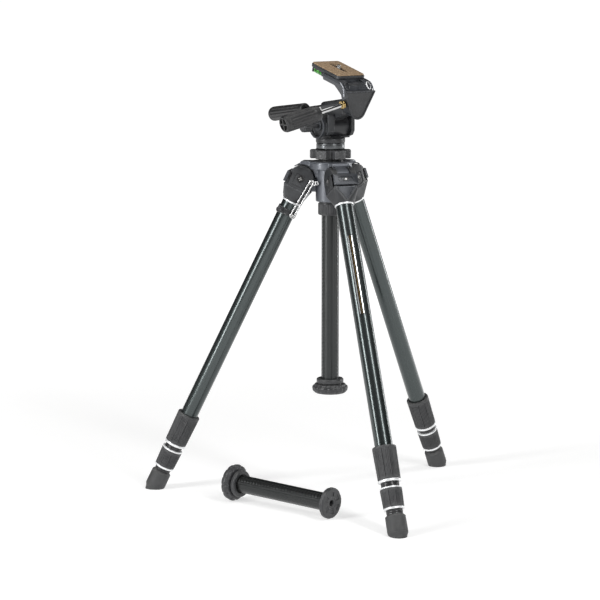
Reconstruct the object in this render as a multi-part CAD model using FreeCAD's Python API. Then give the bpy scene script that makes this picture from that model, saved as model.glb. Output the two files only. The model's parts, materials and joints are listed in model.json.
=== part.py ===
"""Photographic tripod: three twist-lock legs, centre column, three-way pan head and a spare short column.

Millimetres, +Z up, standing on Z = 0. The front leg points along -Y. The model is built about the
centre column's axis and then moved so that the origin is the middle of the footprint.
"""
import FreeCAD
import Part
import math
import os

# ---- legs -----------------------------------------------------------------------------------
LEG_NAMES = {"front": -90.0, "right": 30.0, "left": 150.0}   # azimuth of each leg, degrees
LEG_SPREAD = 25.75          # leg angle from vertical at the first stop, degrees
HIP_RADIUS = 45.5           # hip pivot from the column's axis
LEG_LENGTH = 584.0          # hip pivot to the end of the foot, sections closed
UPPER_TUBE_R = 14.3
MIDDLE_TUBE_R = 12.5
LOWER_TUBE_R = 10.85
TUBE_WALL = 1.3
UPPER_TUBE_END = 474.0      # distances along the leg, from the hip pivot
MIDDLE_TUBE_TOP = 76.0
MIDDLE_TUBE_END = 522.0
LOWER_TUBE_TOP = 88.0
UPPER_LOCK_TOP = 441.8
UPPER_LOCK_LENGTH = 57.2
UPPER_LOCK_R = 19.0
LOWER_LOCK_TOP = 507.0
LOWER_LOCK_LENGTH = 35.5
LOWER_LOCK_R = 17.5
LOCK_TAPER = 1.0            # how much a lock sleeve narrows towards its lower end
LOCK_RING_LENGTH = 4.0
LOCK_RING_INSET = 0.8
FOOT_TOP = 549.0
FOOT_SEAT = 8.0             # how far the lower tube sits in the foot
FOOT_R = 16.5
FOOT_TOE_R = 14.0
SLIDE_GAP = 0.30            # radial gap between a lock and the tube that it turns on

# ---- yoke at the top of a leg -------------------------------------------------------------------
YOKE_WIDTH = 41.0
YOKE_R = 21.5               # rounded top about the hip pivot
YOKE_BODY_END = 18.0
YOKE_SLEEVE_END = 41.0
YOKE_SLEEVE_R = 16.6
TUBE_SEAT = 30.0            # where the upper tube starts
TONGUE_WIDTH = 21.0
TONGUE_GAP = 0.4            # each side of the tongue
TONGUE_R = 20.0
SLOT_DEPTH = 22.5
BOLT_R = 4.0
BOLT_HEAD_R = 5.5
BOLT_HEAD = 3.0
RUNNING_GAP = 0.05
TAB_WIDTH = 41.0
TAB_TOP = -3.0              # along the leg
TAB_HEIGHT = 18.0
TAB_DEPTH = 8.0
TAB_PROUD = 4.0             # how far the tab stands out of the yoke
TAB_TRAVEL = 4.0

# ---- shoulder casting and column clamp ----------------------------------------------------------
SHOULDER_ABOVE_HIP = 28.5
HUB_R = 24.0
HUB_BELOW_HIP = 37.3
RIB_BELOW_HIP = 21.5        # less than the yoke's slot depth, so that the leg folds past it
CORE_R = 35.0
ARM_WIDTH = 30.0
ARM_REACH = 48.0
SCALLOP_GAP = 1.0
BUSH_R = 17.0
COLUMN_R = 14.3
COLUMN_WALL = 1.8
COLUMN_GAP = 0.06
NUT_R = 20.0
NUT_HEIGHT = 21.8
NUT_RIBS = 24
LOCK_NECK_R = 20.7
LOCK_NECK_HEIGHT = 4.7
LOCK_RING_R = 31.0
LOCK_RING_HEIGHT = 13.8
LOCK_LOBES = 6
LOBE_R = 9.0

# ---- centre column ------------------------------------------------------------------------------
COLUMN_FOOT_Z = 173.0
FOOT_DISC_R = 29.4
FOOT_DISC_HEIGHT = 15.0
FOOT_RING_R = 22.0
FOOT_RING_HEIGHT = 9.0
FOOT_NOTCHES = 12
FLANGE_R = 23.1
FLANGE_HEIGHT = 9.5
FLANGE_GAP = 1.3            # between lock ring and flange when the column is down
STUD_R = 4.76               # 3/8 inch head stud
STUD_LENGTH = 7.0

# ---- head (built level, x to the right of the lens, y backwards, origin at the tilt axis) -------
PAN = 16.0                  # how far the head is panned from the front leg, degrees
TILT = 15.0                 # how far the platform leans forward, degrees
TILT_ABOVE_FLANGE = 28.0
HEAD_GAP = 0.4
HEAD_DISC_R = 23.5
HEAD_DISC_HEIGHT = 7.6
HEAD_NECK_R = 16.7
BARREL_R = 19.5
CHEEK_OUT_LEFT = 28.4
CHEEK_IN_LEFT = 10.0
CHEEK_IN_RIGHT = 24.0
CHEEK_OUT_RIGHT = 30.5
CHEEK_GAP = 0.4
PIVOT_R = 5.0
SIDE_PIVOT_HEIGHT = 46.0    # side-tilt axis above the tilt axis
SIDE_PIVOT_R = 5.0
BOSS_R = 12.0
ARM_BACK = -42.0
ARM_FRONT = -59.5
ARM_LEAN = 4.0              # how far the lower end stands forward of the bend
ARM_TOP = 88.5
ARM_THICK = 11.0
ARM_REAR = 4.0
ARM_HALF_WIDTH = 30.0
ARM_FOOT_R = 13.5
ARM_BEND_R = 20.0
ARM_UNDER_Y = -27.0         # where the underside turns down into the arm's leg
COVER_THICK = 3.0
PLATFORM_WIDTH = 55.0
PLATFORM_LENGTH = 75.0
PLATFORM_Y = 4.0
PLATE_THICK = 5.6
CORK_THICK = 1.8
SLOT_LENGTH = 34.0
SCREW_R = 3.175             # 1/4 inch camera screw
SCREW_PROUD = 5.0
SCREW_NECK_R = 2.6          # plain neck below the thread
SCREW_NECK_PROUD = 0.2      # how far the neck shows above the cork
SCREW_KNOB_R = 14.0
SCREW_KNOB_HEIGHT = 13.5
KNOB_ROOM = 0.8             # between the camera-screw knob and the arm's two rails
LEVEL_LENGTH = 24.0
LEVEL_R = 4.0
ROD_R = 3.6
HANDLE_DROP = 23.0          # tilt handle below the platform plane, degrees
HANDLE_ABOVE_AXIS = 34.5
SOCKET_R = 8.0
SOCKET_END = 26.0
TILT_GRIP_START = 77.0
TILT_GRIP_LENGTH = 95.0
TILT_GRIP_R_NEAR = 10.5
TILT_GRIP_R_FAR = 12.2
SIDE_DROP = 14.5            # side handle below the platform plane, degrees
COLLAR_POINT = (-20.0, -51.0, 53.5)
COLLAR_R = 6.5
COLLAR_LENGTH = 6.0
SIDE_GRIP_START = 50.0
SIDE_GRIP_LENGTH = 67.5
SIDE_GRIP_R = 13.8
GRIP_FLUTES = 12
FLUTE_R = 1.3
KNOB_R = 9.0
KNOB_LENGTH = 17.0
KNOB_START = 12.0

# ---- strap link on the left leg -----------------------------------------------------------------
BAND_TOP = 55.0
BAND_HEIGHT = 10.0
BAND_R = 16.4
EAR_HALF = 4.0
STRAP_EAR_FACE = 18.0
WIRE_R = 1.5
LINK_WIDTH = 9.0
LINK_LENGTH = 62.0          # between the centres of its two round ends
LINK_FOOT_X = 14.0          # how far its lower end stands towards the column
LINK_LEAN = 4.4             # degrees
STRAP_KNOB_X = 10.0
STRAP_KNOB_R = 5.2
STRAP_KNOB_LENGTH = 8.0
STRAP_STEM_R = 2.0

# ---- spare short column, lying on the floor ---------------------------------------------------------
SPARE_LENGTH = 211.6
SPARE_DIRECTION = -59.4     # heading of its axis, from the foot disc to the flange, degrees
SPARE_FOOT_AT = (-163.9, 23.1)
SPARE_FLANGE_R = 25.0
SPARE_DISC_R = 30.0
SPARE_SOCKET_R = 4.9

# ---- values that follow -------------------------------------------------------------------------
SPREAD = math.radians(LEG_SPREAD)
HIP_Z = LEG_LENGTH * math.cos(SPREAD)     # the feet stand on Z = 0
HUB_BOTTOM = HIP_Z - HUB_BELOW_HIP
SHOULDER_TOP = HIP_Z + SHOULDER_ABOVE_HIP
RING_BOTTOM = SHOULDER_TOP + LOCK_NECK_HEIGHT
RING_TOP = RING_BOTTOM + LOCK_RING_HEIGHT
FLANGE_BOTTOM = RING_TOP + FLANGE_GAP
FLANGE_TOP = FLANGE_BOTTOM + FLANGE_HEIGHT
TILT_Z = FLANGE_TOP + TILT_ABOVE_FLANGE

X, Y, Z = FreeCAD.Vector(1, 0, 0), FreeCAD.Vector(0, 1, 0), FreeCAD.Vector(0, 0, 1)
ORIGIN = FreeCAD.Vector(0, 0, 0)


def vec(x, y, z):
    return FreeCAD.Vector(x, y, z)


def rod(radius, length, start=ORIGIN, direction=Z):
    return Part.makeCylinder(radius, length, start, direction)


def tube(outer, inner, length, start=ORIGIN, direction=Z):
    return rod(outer, length, start, direction).cut(rod(inner, length, start, direction))


def cone(r_start, r_end, length, start=ORIGIN, direction=Z):
    return Part.makeCone(r_start, r_end, length, start, direction)


def block(x0, x1, y0, y1, z0, z1):
    return Part.makeBox(x1 - x0, y1 - y0, z1 - z0, vec(x0, y0, z0))


def plate_yz(points, x0, x1):
    """A flat profile in the Y-Z plane, carried from x0 to x1."""
    corners = [vec(x0, y, z) for y, z in points]
    return Part.Face(Part.makePolygon(corners + corners[:1])).extrude(vec(x1 - x0, 0, 0))


def plate_xz(points, y0, y1):
    """A flat profile in the X-Z plane, carried from y0 to y1."""
    corners = [vec(x, y0, z) for x, z in points]
    return Part.Face(Part.makePolygon(corners + corners[:1])).extrude(vec(0, y1 - y0, 0))


def around(shape, count, centre=ORIGIN, axis=Z):
    """Copies of a shape, evenly spaced about an axis."""
    copies = []
    for turn in range(count):
        copy = shape.copy()
        copy.rotate(centre, axis, 360.0 * turn / count)
        copies.append(copy)
    return copies


def fuse(shapes):
    return shapes[0].multiFuse(shapes[1:]).removeSplitter()


def turned(shape, axis, degrees, centre=ORIGIN):
    copy = shape.copy()
    copy.rotate(centre, axis, degrees)
    return copy


def moved(shape, offset):
    copy = shape.copy()
    copy.translate(offset)
    return copy


# ---- legs: local frame with the hip pivot at the origin, leg down -Z, outward +X ---------------------
def yoke():
    half = YOKE_WIDTH / 2
    body = rod(YOKE_R, YOKE_WIDTH, vec(0, -half, 0), Y)
    body = body.fuse(block(-YOKE_R, YOKE_R, -half, half, -YOKE_BODY_END, 0))
    square = Part.makePolygon([vec(x, y, -YOKE_BODY_END) for x, y in (
        (-YOKE_R, -half), (YOKE_R, -half), (YOKE_R, half), (-YOKE_R, half), (-YOKE_R, -half))])
    round_end = Part.Wire(Part.makeCircle(YOKE_SLEEVE_R, vec(0, 0, -YOKE_SLEEVE_END)))
    body = body.fuse(Part.makeLoft([square, round_end], True, False))
    slot = TONGUE_WIDTH / 2 + TONGUE_GAP
    reach = 2 * YOKE_R
    body = body.cut(block(-reach, reach, -slot, slot, -SLOT_DEPTH, reach))
    body = body.cut(rod(BOLT_R + RUNNING_GAP, YOKE_WIDTH, vec(0, -half, 0), Y))
    for side in (-1, 1):
        sink = rod(BOLT_HEAD_R + SLIDE_GAP, BOLT_HEAD + SLIDE_GAP, vec(0, side * half, 0), Y * -side)
        body = body.cut(sink)
    body = body.cut(rod(UPPER_TUBE_R, YOKE_SLEEVE_END, vec(0, 0, -TUBE_SEAT - YOKE_SLEEVE_END)))
    gap = SLIDE_GAP
    pocket = block(YOKE_R + TAB_PROUD - TAB_DEPTH - gap, reach, -half - 1, half + 1,
                   -TAB_TOP - TAB_HEIGHT - gap, -TAB_TOP + gap)
    return body.cut(pocket)


def angle_tab():
    half = TAB_WIDTH / 2
    outer = YOKE_R + TAB_PROUD
    body = block(outer - TAB_DEPTH, outer, -half, half, -TAB_TOP - TAB_HEIGHT, -TAB_TOP)
    recess_half = 9.0
    middle = -TAB_TOP - TAB_HEIGHT / 2
    recess = block(outer - 1.5, outer + 1, -recess_half, recess_half, middle - 4, middle + 4)
    for side in (-1, 1):
        recess = recess.fuse(rod(4.0, 2.5, vec(outer - 1.5, side * recess_half, middle), X))
    slot = TONGUE_WIDTH / 2 + TONGUE_GAP
    tongue_room = rod(TONGUE_R + 1.0, 2 * slot, vec(0, -slot, 0), Y)
    return body.cut(recess).cut(tongue_room)


def lock_sleeve(top, length, radius, bore):
    """A tapered lock sleeve with shallow lengthwise grooves."""
    body = cone(radius, radius - LOCK_TAPER, length, vec(0, 0, -top), Z * -1)
    groove = rod(0.9, length * 0.62, vec(radius - 0.1, 0, -top - length * 0.78))
    body = body.cut(Part.makeCompound(around(groove, 16)))
    return body.cut(rod(bore, length + 2, vec(0, 0, -top - length - 1)))


def leg_parts():
    """Every piece of one leg, upright about its hip pivot."""
    inner_upper = UPPER_TUBE_R - TUBE_WALL
    inner_middle = MIDDLE_TUBE_R - TUBE_WALL
    sleeve = UPPER_LOCK_LENGTH - LOCK_RING_LENGTH
    upper_lock = lock_sleeve(UPPER_LOCK_TOP, sleeve, UPPER_LOCK_R, UPPER_TUBE_R + SLIDE_GAP)
    ring_r = UPPER_LOCK_R - LOCK_RING_INSET
    lower_bore = MIDDLE_TUBE_R + SLIDE_GAP
    return {
        "leg_yoke": yoke(),
        "angle_tab": angle_tab(),
        "upper_tube": tube(UPPER_TUBE_R, inner_upper, UPPER_TUBE_END - TUBE_SEAT, vec(0, 0, -UPPER_TUBE_END)),
        "upper_lock": upper_lock,
        "upper_lock_ring": tube(ring_r, lower_bore, LOCK_RING_LENGTH,
                                vec(0, 0, -UPPER_LOCK_TOP - UPPER_LOCK_LENGTH)),
        "middle_tube": tube(MIDDLE_TUBE_R, inner_middle, MIDDLE_TUBE_END - MIDDLE_TUBE_TOP,
                            vec(0, 0, -MIDDLE_TUBE_END)),
        "lower_lock": lock_sleeve(LOWER_LOCK_TOP, LOWER_LOCK_LENGTH, LOWER_LOCK_R, lower_bore),
        "lower_tube": tube(LOWER_TUBE_R, LOWER_TUBE_R - TUBE_WALL, FOOT_TOP + FOOT_SEAT - LOWER_TUBE_TOP,
                           vec(0, 0, -FOOT_TOP - FOOT_SEAT)),
        "leg_foot": leg_foot(),
    }


def leg_foot():
    length = LEG_LENGTH - FOOT_TOP
    toe = 10.0
    extra = 10.0
    body = cone(FOOT_R - 1.0, FOOT_R, length - toe, vec(0, 0, -FOOT_TOP), Z * -1)
    slope = (FOOT_R - FOOT_TOE_R) / toe
    end_r = FOOT_TOE_R - slope * extra * 0.4
    body = body.fuse(cone(FOOT_R, end_r, toe + extra, vec(0, 0, -LEG_LENGTH + toe), Z * -1))
    return body.cut(rod(LOWER_TUBE_R, FOOT_SEAT, vec(0, 0, -FOOT_TOP - FOOT_SEAT)))


def place_leg(shape, azimuth):
    placed = turned(shape, Y, -LEG_SPREAD)
    placed.translate(vec(HIP_RADIUS, 0, HIP_Z))
    return turned(placed, Z, azimuth)


def strap_parts():
    """Clamp band with its knob and wire link on the viewer's side of the left leg."""
    middle = -BAND_TOP - BAND_HEIGHT / 2
    side = YOKE_WIDTH / 2
    band = tube(BAND_R, UPPER_TUBE_R, BAND_HEIGHT, vec(0, 0, -BAND_TOP - BAND_HEIGHT))
    for x, face in ((STRAP_KNOB_X, STRAP_EAR_FACE), (-LINK_FOOT_X, side + 0.2)):
        ear = block(x - EAR_HALF, x + EAR_HALF, 0.0, face, middle - EAR_HALF, middle + EAR_HALF)
        band = band.fuse(ear.cut(rod(UPPER_TUBE_R + 0.5, BAND_HEIGHT, vec(0, 0, -BAND_TOP - BAND_HEIGHT))))
    band = band.cut(rod(STRAP_STEM_R + RUNNING_GAP, EAR_HALF, vec(STRAP_KNOB_X, STRAP_EAR_FACE - 3.0, middle), Y))
    knob = rod(STRAP_KNOB_R, STRAP_KNOB_LENGTH, vec(STRAP_KNOB_X, STRAP_EAR_FACE + 0.3, middle), Y)
    knob = knob.fuse(rod(STRAP_STEM_R, 4.0, vec(STRAP_KNOB_X, STRAP_EAR_FACE - 2.5, middle), Y))
    plane = side + WIRE_R + 0.3
    half = LINK_WIDTH / 2 - WIRE_R
    legs = [rod(WIRE_R, LINK_LENGTH, vec(x, plane, middle)) for x in (-half, half)]
    ends = [Part.makeTorus(half, WIRE_R, vec(0, plane, z), Y) for z in (middle, middle + LINK_LENGTH)]
    inside = half - WIRE_R * 0.9
    link = fuse(legs + ends)
    link = link.cut(block(-inside, inside, plane - 3, plane + 3, middle + 2, middle + LINK_LENGTH - 2))
    link = turned(link, Y, -LINK_LEAN, vec(0, 0, middle))
    return {"strap_band": band, "strap_link": moved(link, vec(-LINK_FOOT_X, 0, 0)), "strap_knob": knob}


# ---- shoulder ---------------------------------------------------------------------------------------
def shoulder():
    hub = rod(HUB_R, SHOULDER_TOP - 3.0 - HUB_BOTTOM, vec(0, 0, HUB_BOTTOM))
    canopy = [rod(CORE_R, SHOULDER_TOP - HIP_Z - 16.0, vec(0, 0, HIP_Z + 16.0))]
    for azimuth in LEG_NAMES.values():
        half = ARM_WIDTH / 2
        arm = block(0, ARM_REACH, -half, half, HIP_Z + 2.0, SHOULDER_TOP)
        canopy.append(turned(arm, Z, azimuth))
    body = fuse(canopy)
    edges = [edge for edge in body.Edges if min(v.Z for v in edge.Vertexes) > SHOULDER_TOP - 0.01]
    body = body.makeChamfer(2.0, edges)
    half = TONGUE_WIDTH / 2
    for azimuth in LEG_NAMES.values():
        room = rod(YOKE_R + SCALLOP_GAP, ARM_WIDTH * 3, vec(HIP_RADIUS, -ARM_WIDTH * 1.5, HIP_Z), Y)
        body = body.cut(turned(room, Z, azimuth))
    body = body.fuse(hub)
    for azimuth in LEG_NAMES.values():
        tongue = rod(TONGUE_R, TONGUE_WIDTH, vec(HIP_RADIUS, -half, HIP_Z), Y)
        tongue = tongue.common(block(0, HIP_RADIUS + 13.0, -half, half, HIP_Z - 15.0, HIP_Z + TONGUE_R))
        web = block(HUB_R - 6.0, HIP_RADIUS, -half, half, HIP_Z - 15.0, SHOULDER_TOP - 4.0)
        rib = block(HUB_R - 6.0, 31.0, -half, half, HIP_Z - RIB_BELOW_HIP, HIP_Z)
        arm_root = block(HIP_RADIUS - 2.0, ARM_REACH - 3.0, -half, half, HIP_Z + 15.0, SHOULDER_TOP - 4.0)
        tongue = fuse([tongue, web, rib, arm_root])
        tongue = tongue.cut(rod(BOLT_R, YOKE_WIDTH, vec(HIP_RADIUS, -YOKE_WIDTH / 2, HIP_Z), Y))
        body = body.fuse(turned(tongue, Z, azimuth))
    body = body.cut(rod(BUSH_R, 200.0, vec(0, 0, HUB_BOTTOM - 20.0)))
    return body.removeSplitter()


def hip_bolts():
    bolts = []
    for azimuth in LEG_NAMES.values():
        half = YOKE_WIDTH / 2
        bolt = rod(BOLT_R, YOKE_WIDTH - 0.4, vec(HIP_RADIUS, -half + 0.2, HIP_Z), Y)
        for side in (-1, 1):
            head = rod(BOLT_HEAD_R, BOLT_HEAD - 0.2, vec(HIP_RADIUS, side * (half - 0.2), HIP_Z), Y * -side)
            bolt = bolt.fuse(head)
        cross = block(HIP_RADIUS - 3.2, HIP_RADIUS + 3.2, half - 1.8, half, HIP_Z - 0.7, HIP_Z + 0.7)
        cross = cross.fuse(block(HIP_RADIUS - 0.7, HIP_RADIUS + 0.7, half - 1.8, half, HIP_Z - 3.2, HIP_Z + 3.2))
        mirror = moved(cross, vec(0, 1.8 - 2 * half, 0))
        bolts.append(turned(bolt.cut(cross).cut(mirror), Z, azimuth))
    return Part.makeCompound(bolts)


def lobed_disc(radius, height, base, lobes, lobe_r):
    """A round knob with rounded lobes standing out of it."""
    bumps = around(rod(lobe_r, height, vec(radius - lobe_r * 0.72, 0, base)), lobes)
    return fuse([rod(radius - lobe_r * 0.55, height, vec(0, 0, base))] + bumps)


def column_clamp():
    bore = COLUMN_R + COLUMN_GAP
    nut = tube(NUT_R, bore, NUT_HEIGHT, vec(0, 0, HUB_BOTTOM - NUT_HEIGHT))
    groove = rod(0.8, NUT_HEIGHT - 4.0, vec(NUT_R + 0.2, 0, HUB_BOTTOM - NUT_HEIGHT + 2.0))
    nut = nut.cut(Part.makeCompound(around(groove, NUT_RIBS)))
    bush = rod(BUSH_R, SHOULDER_TOP - HUB_BOTTOM, vec(0, 0, HUB_BOTTOM))
    bush = bush.fuse(rod(LOCK_NECK_R, LOCK_NECK_HEIGHT, vec(0, 0, SHOULDER_TOP)))
    bush = bush.cut(rod(bore, RING_TOP - HUB_BOTTOM, vec(0, 0, HUB_BOTTOM)))
    ring = lobed_disc(LOCK_RING_R, LOCK_RING_HEIGHT, RING_BOTTOM, LOCK_LOBES, LOBE_R)
    ring = ring.cut(rod(bore + SLIDE_GAP, LOCK_RING_HEIGHT, vec(0, 0, RING_BOTTOM)))
    return {"column_lower_nut": nut, "column_bush": bush, "column_lock_ring": ring}


# ---- centre column ------------------------------------------------------------------------------------
def column_foot(disc_r, ring_r, base):
    """Flared, notched end disc with a smaller ring behind it."""
    flare = disc_r * 0.12
    step = FOOT_DISC_HEIGHT * 0.4
    body = cone(disc_r - flare, disc_r, step, vec(0, 0, base))
    body = body.fuse(rod(disc_r, FOOT_DISC_HEIGHT - step, vec(0, 0, base + step)))
    notch = rod(1.6, FOOT_DISC_HEIGHT, vec(disc_r + 0.6, 0, base))
    body = body.cut(Part.makeCompound(around(notch, FOOT_NOTCHES)))
    top = base + FOOT_DISC_HEIGHT
    body = body.fuse(rod(ring_r - 3.0, 2.0, vec(0, 0, top)))
    body = body.fuse(rod(ring_r, FOOT_RING_HEIGHT - 2.0, vec(0, 0, top + 2.0)))
    return body.removeSplitter()


def centre_column():
    foot_top = COLUMN_FOOT_Z + FOOT_DISC_HEIGHT + FOOT_RING_HEIGHT
    foot = column_foot(FOOT_DISC_R, FOOT_RING_R, COLUMN_FOOT_Z)
    seat = 8.0
    foot = foot.cut(rod(COLUMN_R, seat, vec(0, 0, foot_top - seat)))
    start = foot_top - seat
    column = tube(COLUMN_R, COLUMN_R - COLUMN_WALL, FLANGE_BOTTOM - start, vec(0, 0, start))
    flange = rod(FLANGE_R, FLANGE_HEIGHT, vec(0, 0, FLANGE_BOTTOM))
    flange = flange.cut(rod(STUD_R, FLANGE_HEIGHT, vec(0, 0, FLANGE_BOTTOM)))
    stud = rod(STUD_R, FLANGE_HEIGHT + STUD_LENGTH, vec(0, 0, FLANGE_BOTTOM))
    return {"centre_column": column, "column_foot": foot, "column_flange": flange, "head_stud": stud}


# ---- head: pan base -----------------------------------------------------------------------------------
def pan_base():
    floor = -TILT_ABOVE_FLANGE + HEAD_GAP
    disc = rod(HEAD_DISC_R, HEAD_DISC_HEIGHT, vec(0, 0, floor))
    neck_top = -BARREL_R + 1.5
    neck = rod(HEAD_NECK_R, neck_top - floor, vec(0, 0, floor))
    saddle = block(-CHEEK_OUT_LEFT + 4.0, CHEEK_OUT_RIGHT, -12.0, 14.0, floor + HEAD_DISC_HEIGHT, -13.0)
    left = rod(BARREL_R, CHEEK_OUT_LEFT - CHEEK_IN_LEFT, vec(-CHEEK_OUT_LEFT, 0, 0), X)
    dish = rod(BARREL_R - 3.2, 5.0, vec(-CHEEK_OUT_LEFT, 0, 0), X)
    fin_points = [(-14, -17.5), (14, -13), (19.5, 0), (12, 16), (-9, 27), (-22, 27), (-25, 23), (-25, -8), (-21, -15)]
    right = plate_yz(fin_points, CHEEK_IN_RIGHT, CHEEK_OUT_RIGHT)
    lip = plate_yz([(-25, -8), (-19.5, -14), (-17, -10), (-19.5, 5), (-21, 20), (-25, 20)],
                   -CHEEK_OUT_LEFT + 6.0, -CHEEK_IN_LEFT)
    body = fuse([disc, neck, saddle, left, right, lip])
    body = body.cut(dish)
    room = rod(BARREL_R + CHEEK_GAP, CHEEK_IN_LEFT + CHEEK_IN_RIGHT, vec(-CHEEK_IN_LEFT, 0, 0), X)
    body = body.cut(room)
    pin = rod(PIVOT_R, CHEEK_OUT_RIGHT + CHEEK_IN_LEFT + 6.0, vec(-CHEEK_IN_LEFT - 6.0, 0, 0), X)
    body = body.cut(pin)
    knob_bore = rod(3.0 + RUNNING_GAP, 40.0, vec(-CHEEK_OUT_LEFT - 1.0, 0, 0), X)
    knob_bore = knob_bore.common(rod(10.0, 8.0, vec(-CHEEK_OUT_LEFT - 1.0, 0, 0), X))
    body = body.cut(knob_bore).cut(rod(STUD_R + 0.08, STUD_LENGTH + 1.0, vec(0, 0, floor)))
    return {"pan_base": body.removeSplitter(), "tilt_pin": pin}


def pan_knob():
    """Lock knob that stands out of the dished left end."""
    start = -CHEEK_OUT_LEFT - KNOB_START
    knob = rod(KNOB_R, KNOB_LENGTH, vec(start, 0, 0), X * -1)
    flute = rod(1.2, KNOB_LENGTH - 3.0, vec(start - 1.5, 0, KNOB_R + 0.4), X * -1)
    knob = knob.cut(Part.makeCompound(around(flute, 10, ORIGIN, X)))
    stem = rod(3.0, KNOB_START + 7.0, vec(-CHEEK_OUT_LEFT + 7.0, 0, 0), X * -1)
    return knob.fuse(stem)


# ---- head: tilt block, level ----------------------------------------------------------------------------
HANDLE_AXIS = vec(0, math.cos(math.radians(HANDLE_DROP)), -math.sin(math.radians(HANDLE_DROP)))
HANDLE_BASE = vec(0, 0, HANDLE_ABOVE_AXIS)
SIDE_AXIS = vec(-math.cos(math.radians(SIDE_DROP)), 0, -math.sin(math.radians(SIDE_DROP)))


def tilt_block():
    width = CHEEK_IN_LEFT + CHEEK_IN_RIGHT - 2 * CHEEK_GAP
    left = -CHEEK_IN_LEFT + CHEEK_GAP
    barrel = rod(BARREL_R - CHEEK_GAP, width, vec(left, 0, 0), X)
    front = ARM_BACK + 0.4
    low, high = SIDE_PIVOT_HEIGHT - BOSS_R - 2.0, SIDE_PIVOT_HEIGHT + BOSS_R
    strut = plate_yz([(-10, 12), (front + 4, low), (front + 4, high), (-35, high - 1), (-31, 45), (-3, 24), (8, 16)],
                     left, CHEEK_IN_LEFT + 4.0)
    boss = rod(BOSS_R, 10.0, vec(0, front, SIDE_PIVOT_HEIGHT), Y)
    socket = rod(SOCKET_R, SOCKET_END + 30.0, HANDLE_BASE - HANDLE_AXIS * 30.0, HANDLE_AXIS)
    web = plate_yz([(-25, 30), (-14, 18), (12, 14), (20, 20), (8, 32)], -6.0, 6.0)
    body = fuse([barrel, strut, boss, socket, web])
    body = body.cut(rod(PIVOT_R + RUNNING_GAP, width + 10, vec(left - 5, 0, 0), X))
    body = body.cut(rod(SIDE_PIVOT_R, 22.0, vec(0, front, SIDE_PIVOT_HEIGHT), Y))
    body = body.cut(rod(ROD_R + RUNNING_GAP, 42.0, HANDLE_BASE - HANDLE_AXIS * 14.0, HANDLE_AXIS))
    shaft = rod(SIDE_PIVOT_R, 22.0 - ARM_BACK + ARM_FRONT + 28.0, vec(0, front + 22.0, SIDE_PIVOT_HEIGHT), Y * -1)
    return {"tilt_block": body, "side_pivot": shaft}


def fluted_grip(r_near, r_far, length, start, axis, end_pockets):
    body = cone(r_near - 1.6, r_near, 5.0, start, axis)
    body = body.fuse(cone(r_near, r_far, length - 9.0, start + axis * 5.0, axis))
    body = body.fuse(cone(r_far, r_far - 2.2, 4.0, start + axis * (length - 4.0), axis))
    side = axis.cross(Y if abs(axis.dot(Y)) < 0.5 else X)
    side.normalize()
    flute = rod(FLUTE_R, length - 24.0, start + axis * 12.0 + side * ((r_near + r_far) / 2 + 0.5), axis)
    body = body.cut(Part.makeCompound(around(flute, GRIP_FLUTES, start, axis)))
    if end_pockets:
        pocket = rod(2.6, 6.0, start + axis * (length - 5.0) + side * (r_far * 0.56), axis)
        body = body.cut(Part.makeCompound(around(pocket, 6, start, axis)))
    return body


def handles():
    rod_start = -12.0
    tilt_rod = rod(ROD_R, TILT_GRIP_START + 30.0 - rod_start, HANDLE_BASE + HANDLE_AXIS * rod_start, HANDLE_AXIS)
    grip_at = HANDLE_BASE + HANDLE_AXIS * TILT_GRIP_START
    tilt_grip = fluted_grip(TILT_GRIP_R_NEAR, TILT_GRIP_R_FAR, TILT_GRIP_LENGTH, grip_at, HANDLE_AXIS, False)
    tilt_grip = tilt_grip.cut(rod(ROD_R, 30.0, grip_at, HANDLE_AXIS))
    collar_at = vec(*COLLAR_POINT)
    collar = tube(COLLAR_R, ROD_R + RUNNING_GAP, COLLAR_LENGTH, collar_at, SIDE_AXIS)
    side_rod = rod(ROD_R, SIDE_GRIP_START + 36.0, collar_at - SIDE_AXIS * 6.0, SIDE_AXIS)
    side_at = collar_at + SIDE_AXIS * SIDE_GRIP_START
    side_grip = fluted_grip(SIDE_GRIP_R - 0.8, SIDE_GRIP_R, SIDE_GRIP_LENGTH, side_at, SIDE_AXIS, True)
    side_grip = side_grip.cut(rod(ROD_R, 30.0, side_at, SIDE_AXIS))
    return {"tilt_handle_rod": tilt_rod, "tilt_handle_grip": tilt_grip, "rod_collar": collar,
            "side_handle_rod": side_rod, "side_handle_grip": side_grip}


# ---- head: arm and platform, level ------------------------------------------------------------------------
def side_profile():
    """Outline of the bracket seen from the side, in (y, z): rear, over the bend, down to the foot."""
    foot_z = SIDE_PIVOT_HEIGHT - ARM_FOOT_R
    bend = []
    for step in range(9):
        angle = math.radians(90.0 + 11.25 * step)
        bend.append((ARM_FRONT + ARM_BEND_R * (1 + math.cos(angle)), ARM_TOP - ARM_BEND_R * (1 - math.sin(angle))))
    under = ARM_TOP - ARM_THICK
    return ([(ARM_REAR, ARM_TOP)] + bend + [(ARM_FRONT - ARM_LEAN, foot_z), (ARM_BACK, foot_z),
            (ARM_BACK, under - 11.5), (ARM_UNDER_Y - 6.0, under - 4.0), (ARM_UNDER_Y, under), (ARM_REAR, under)])


def front_outline(radius, half, top):
    """Triangular outline with a round lower end, in (x, z)."""
    centre = SIDE_PIVOT_HEIGHT
    lean = math.atan2(half - radius, top - centre)
    points = [(-half, top + 30.0), (-half, top)]
    for step in range(13):
        angle = math.pi + lean + (math.pi - 2 * lean) * step / 12
        points.append((radius * math.cos(angle), centre + radius * math.sin(angle)))
    return points + [(half, top), (half, top + 30.0)]


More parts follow.
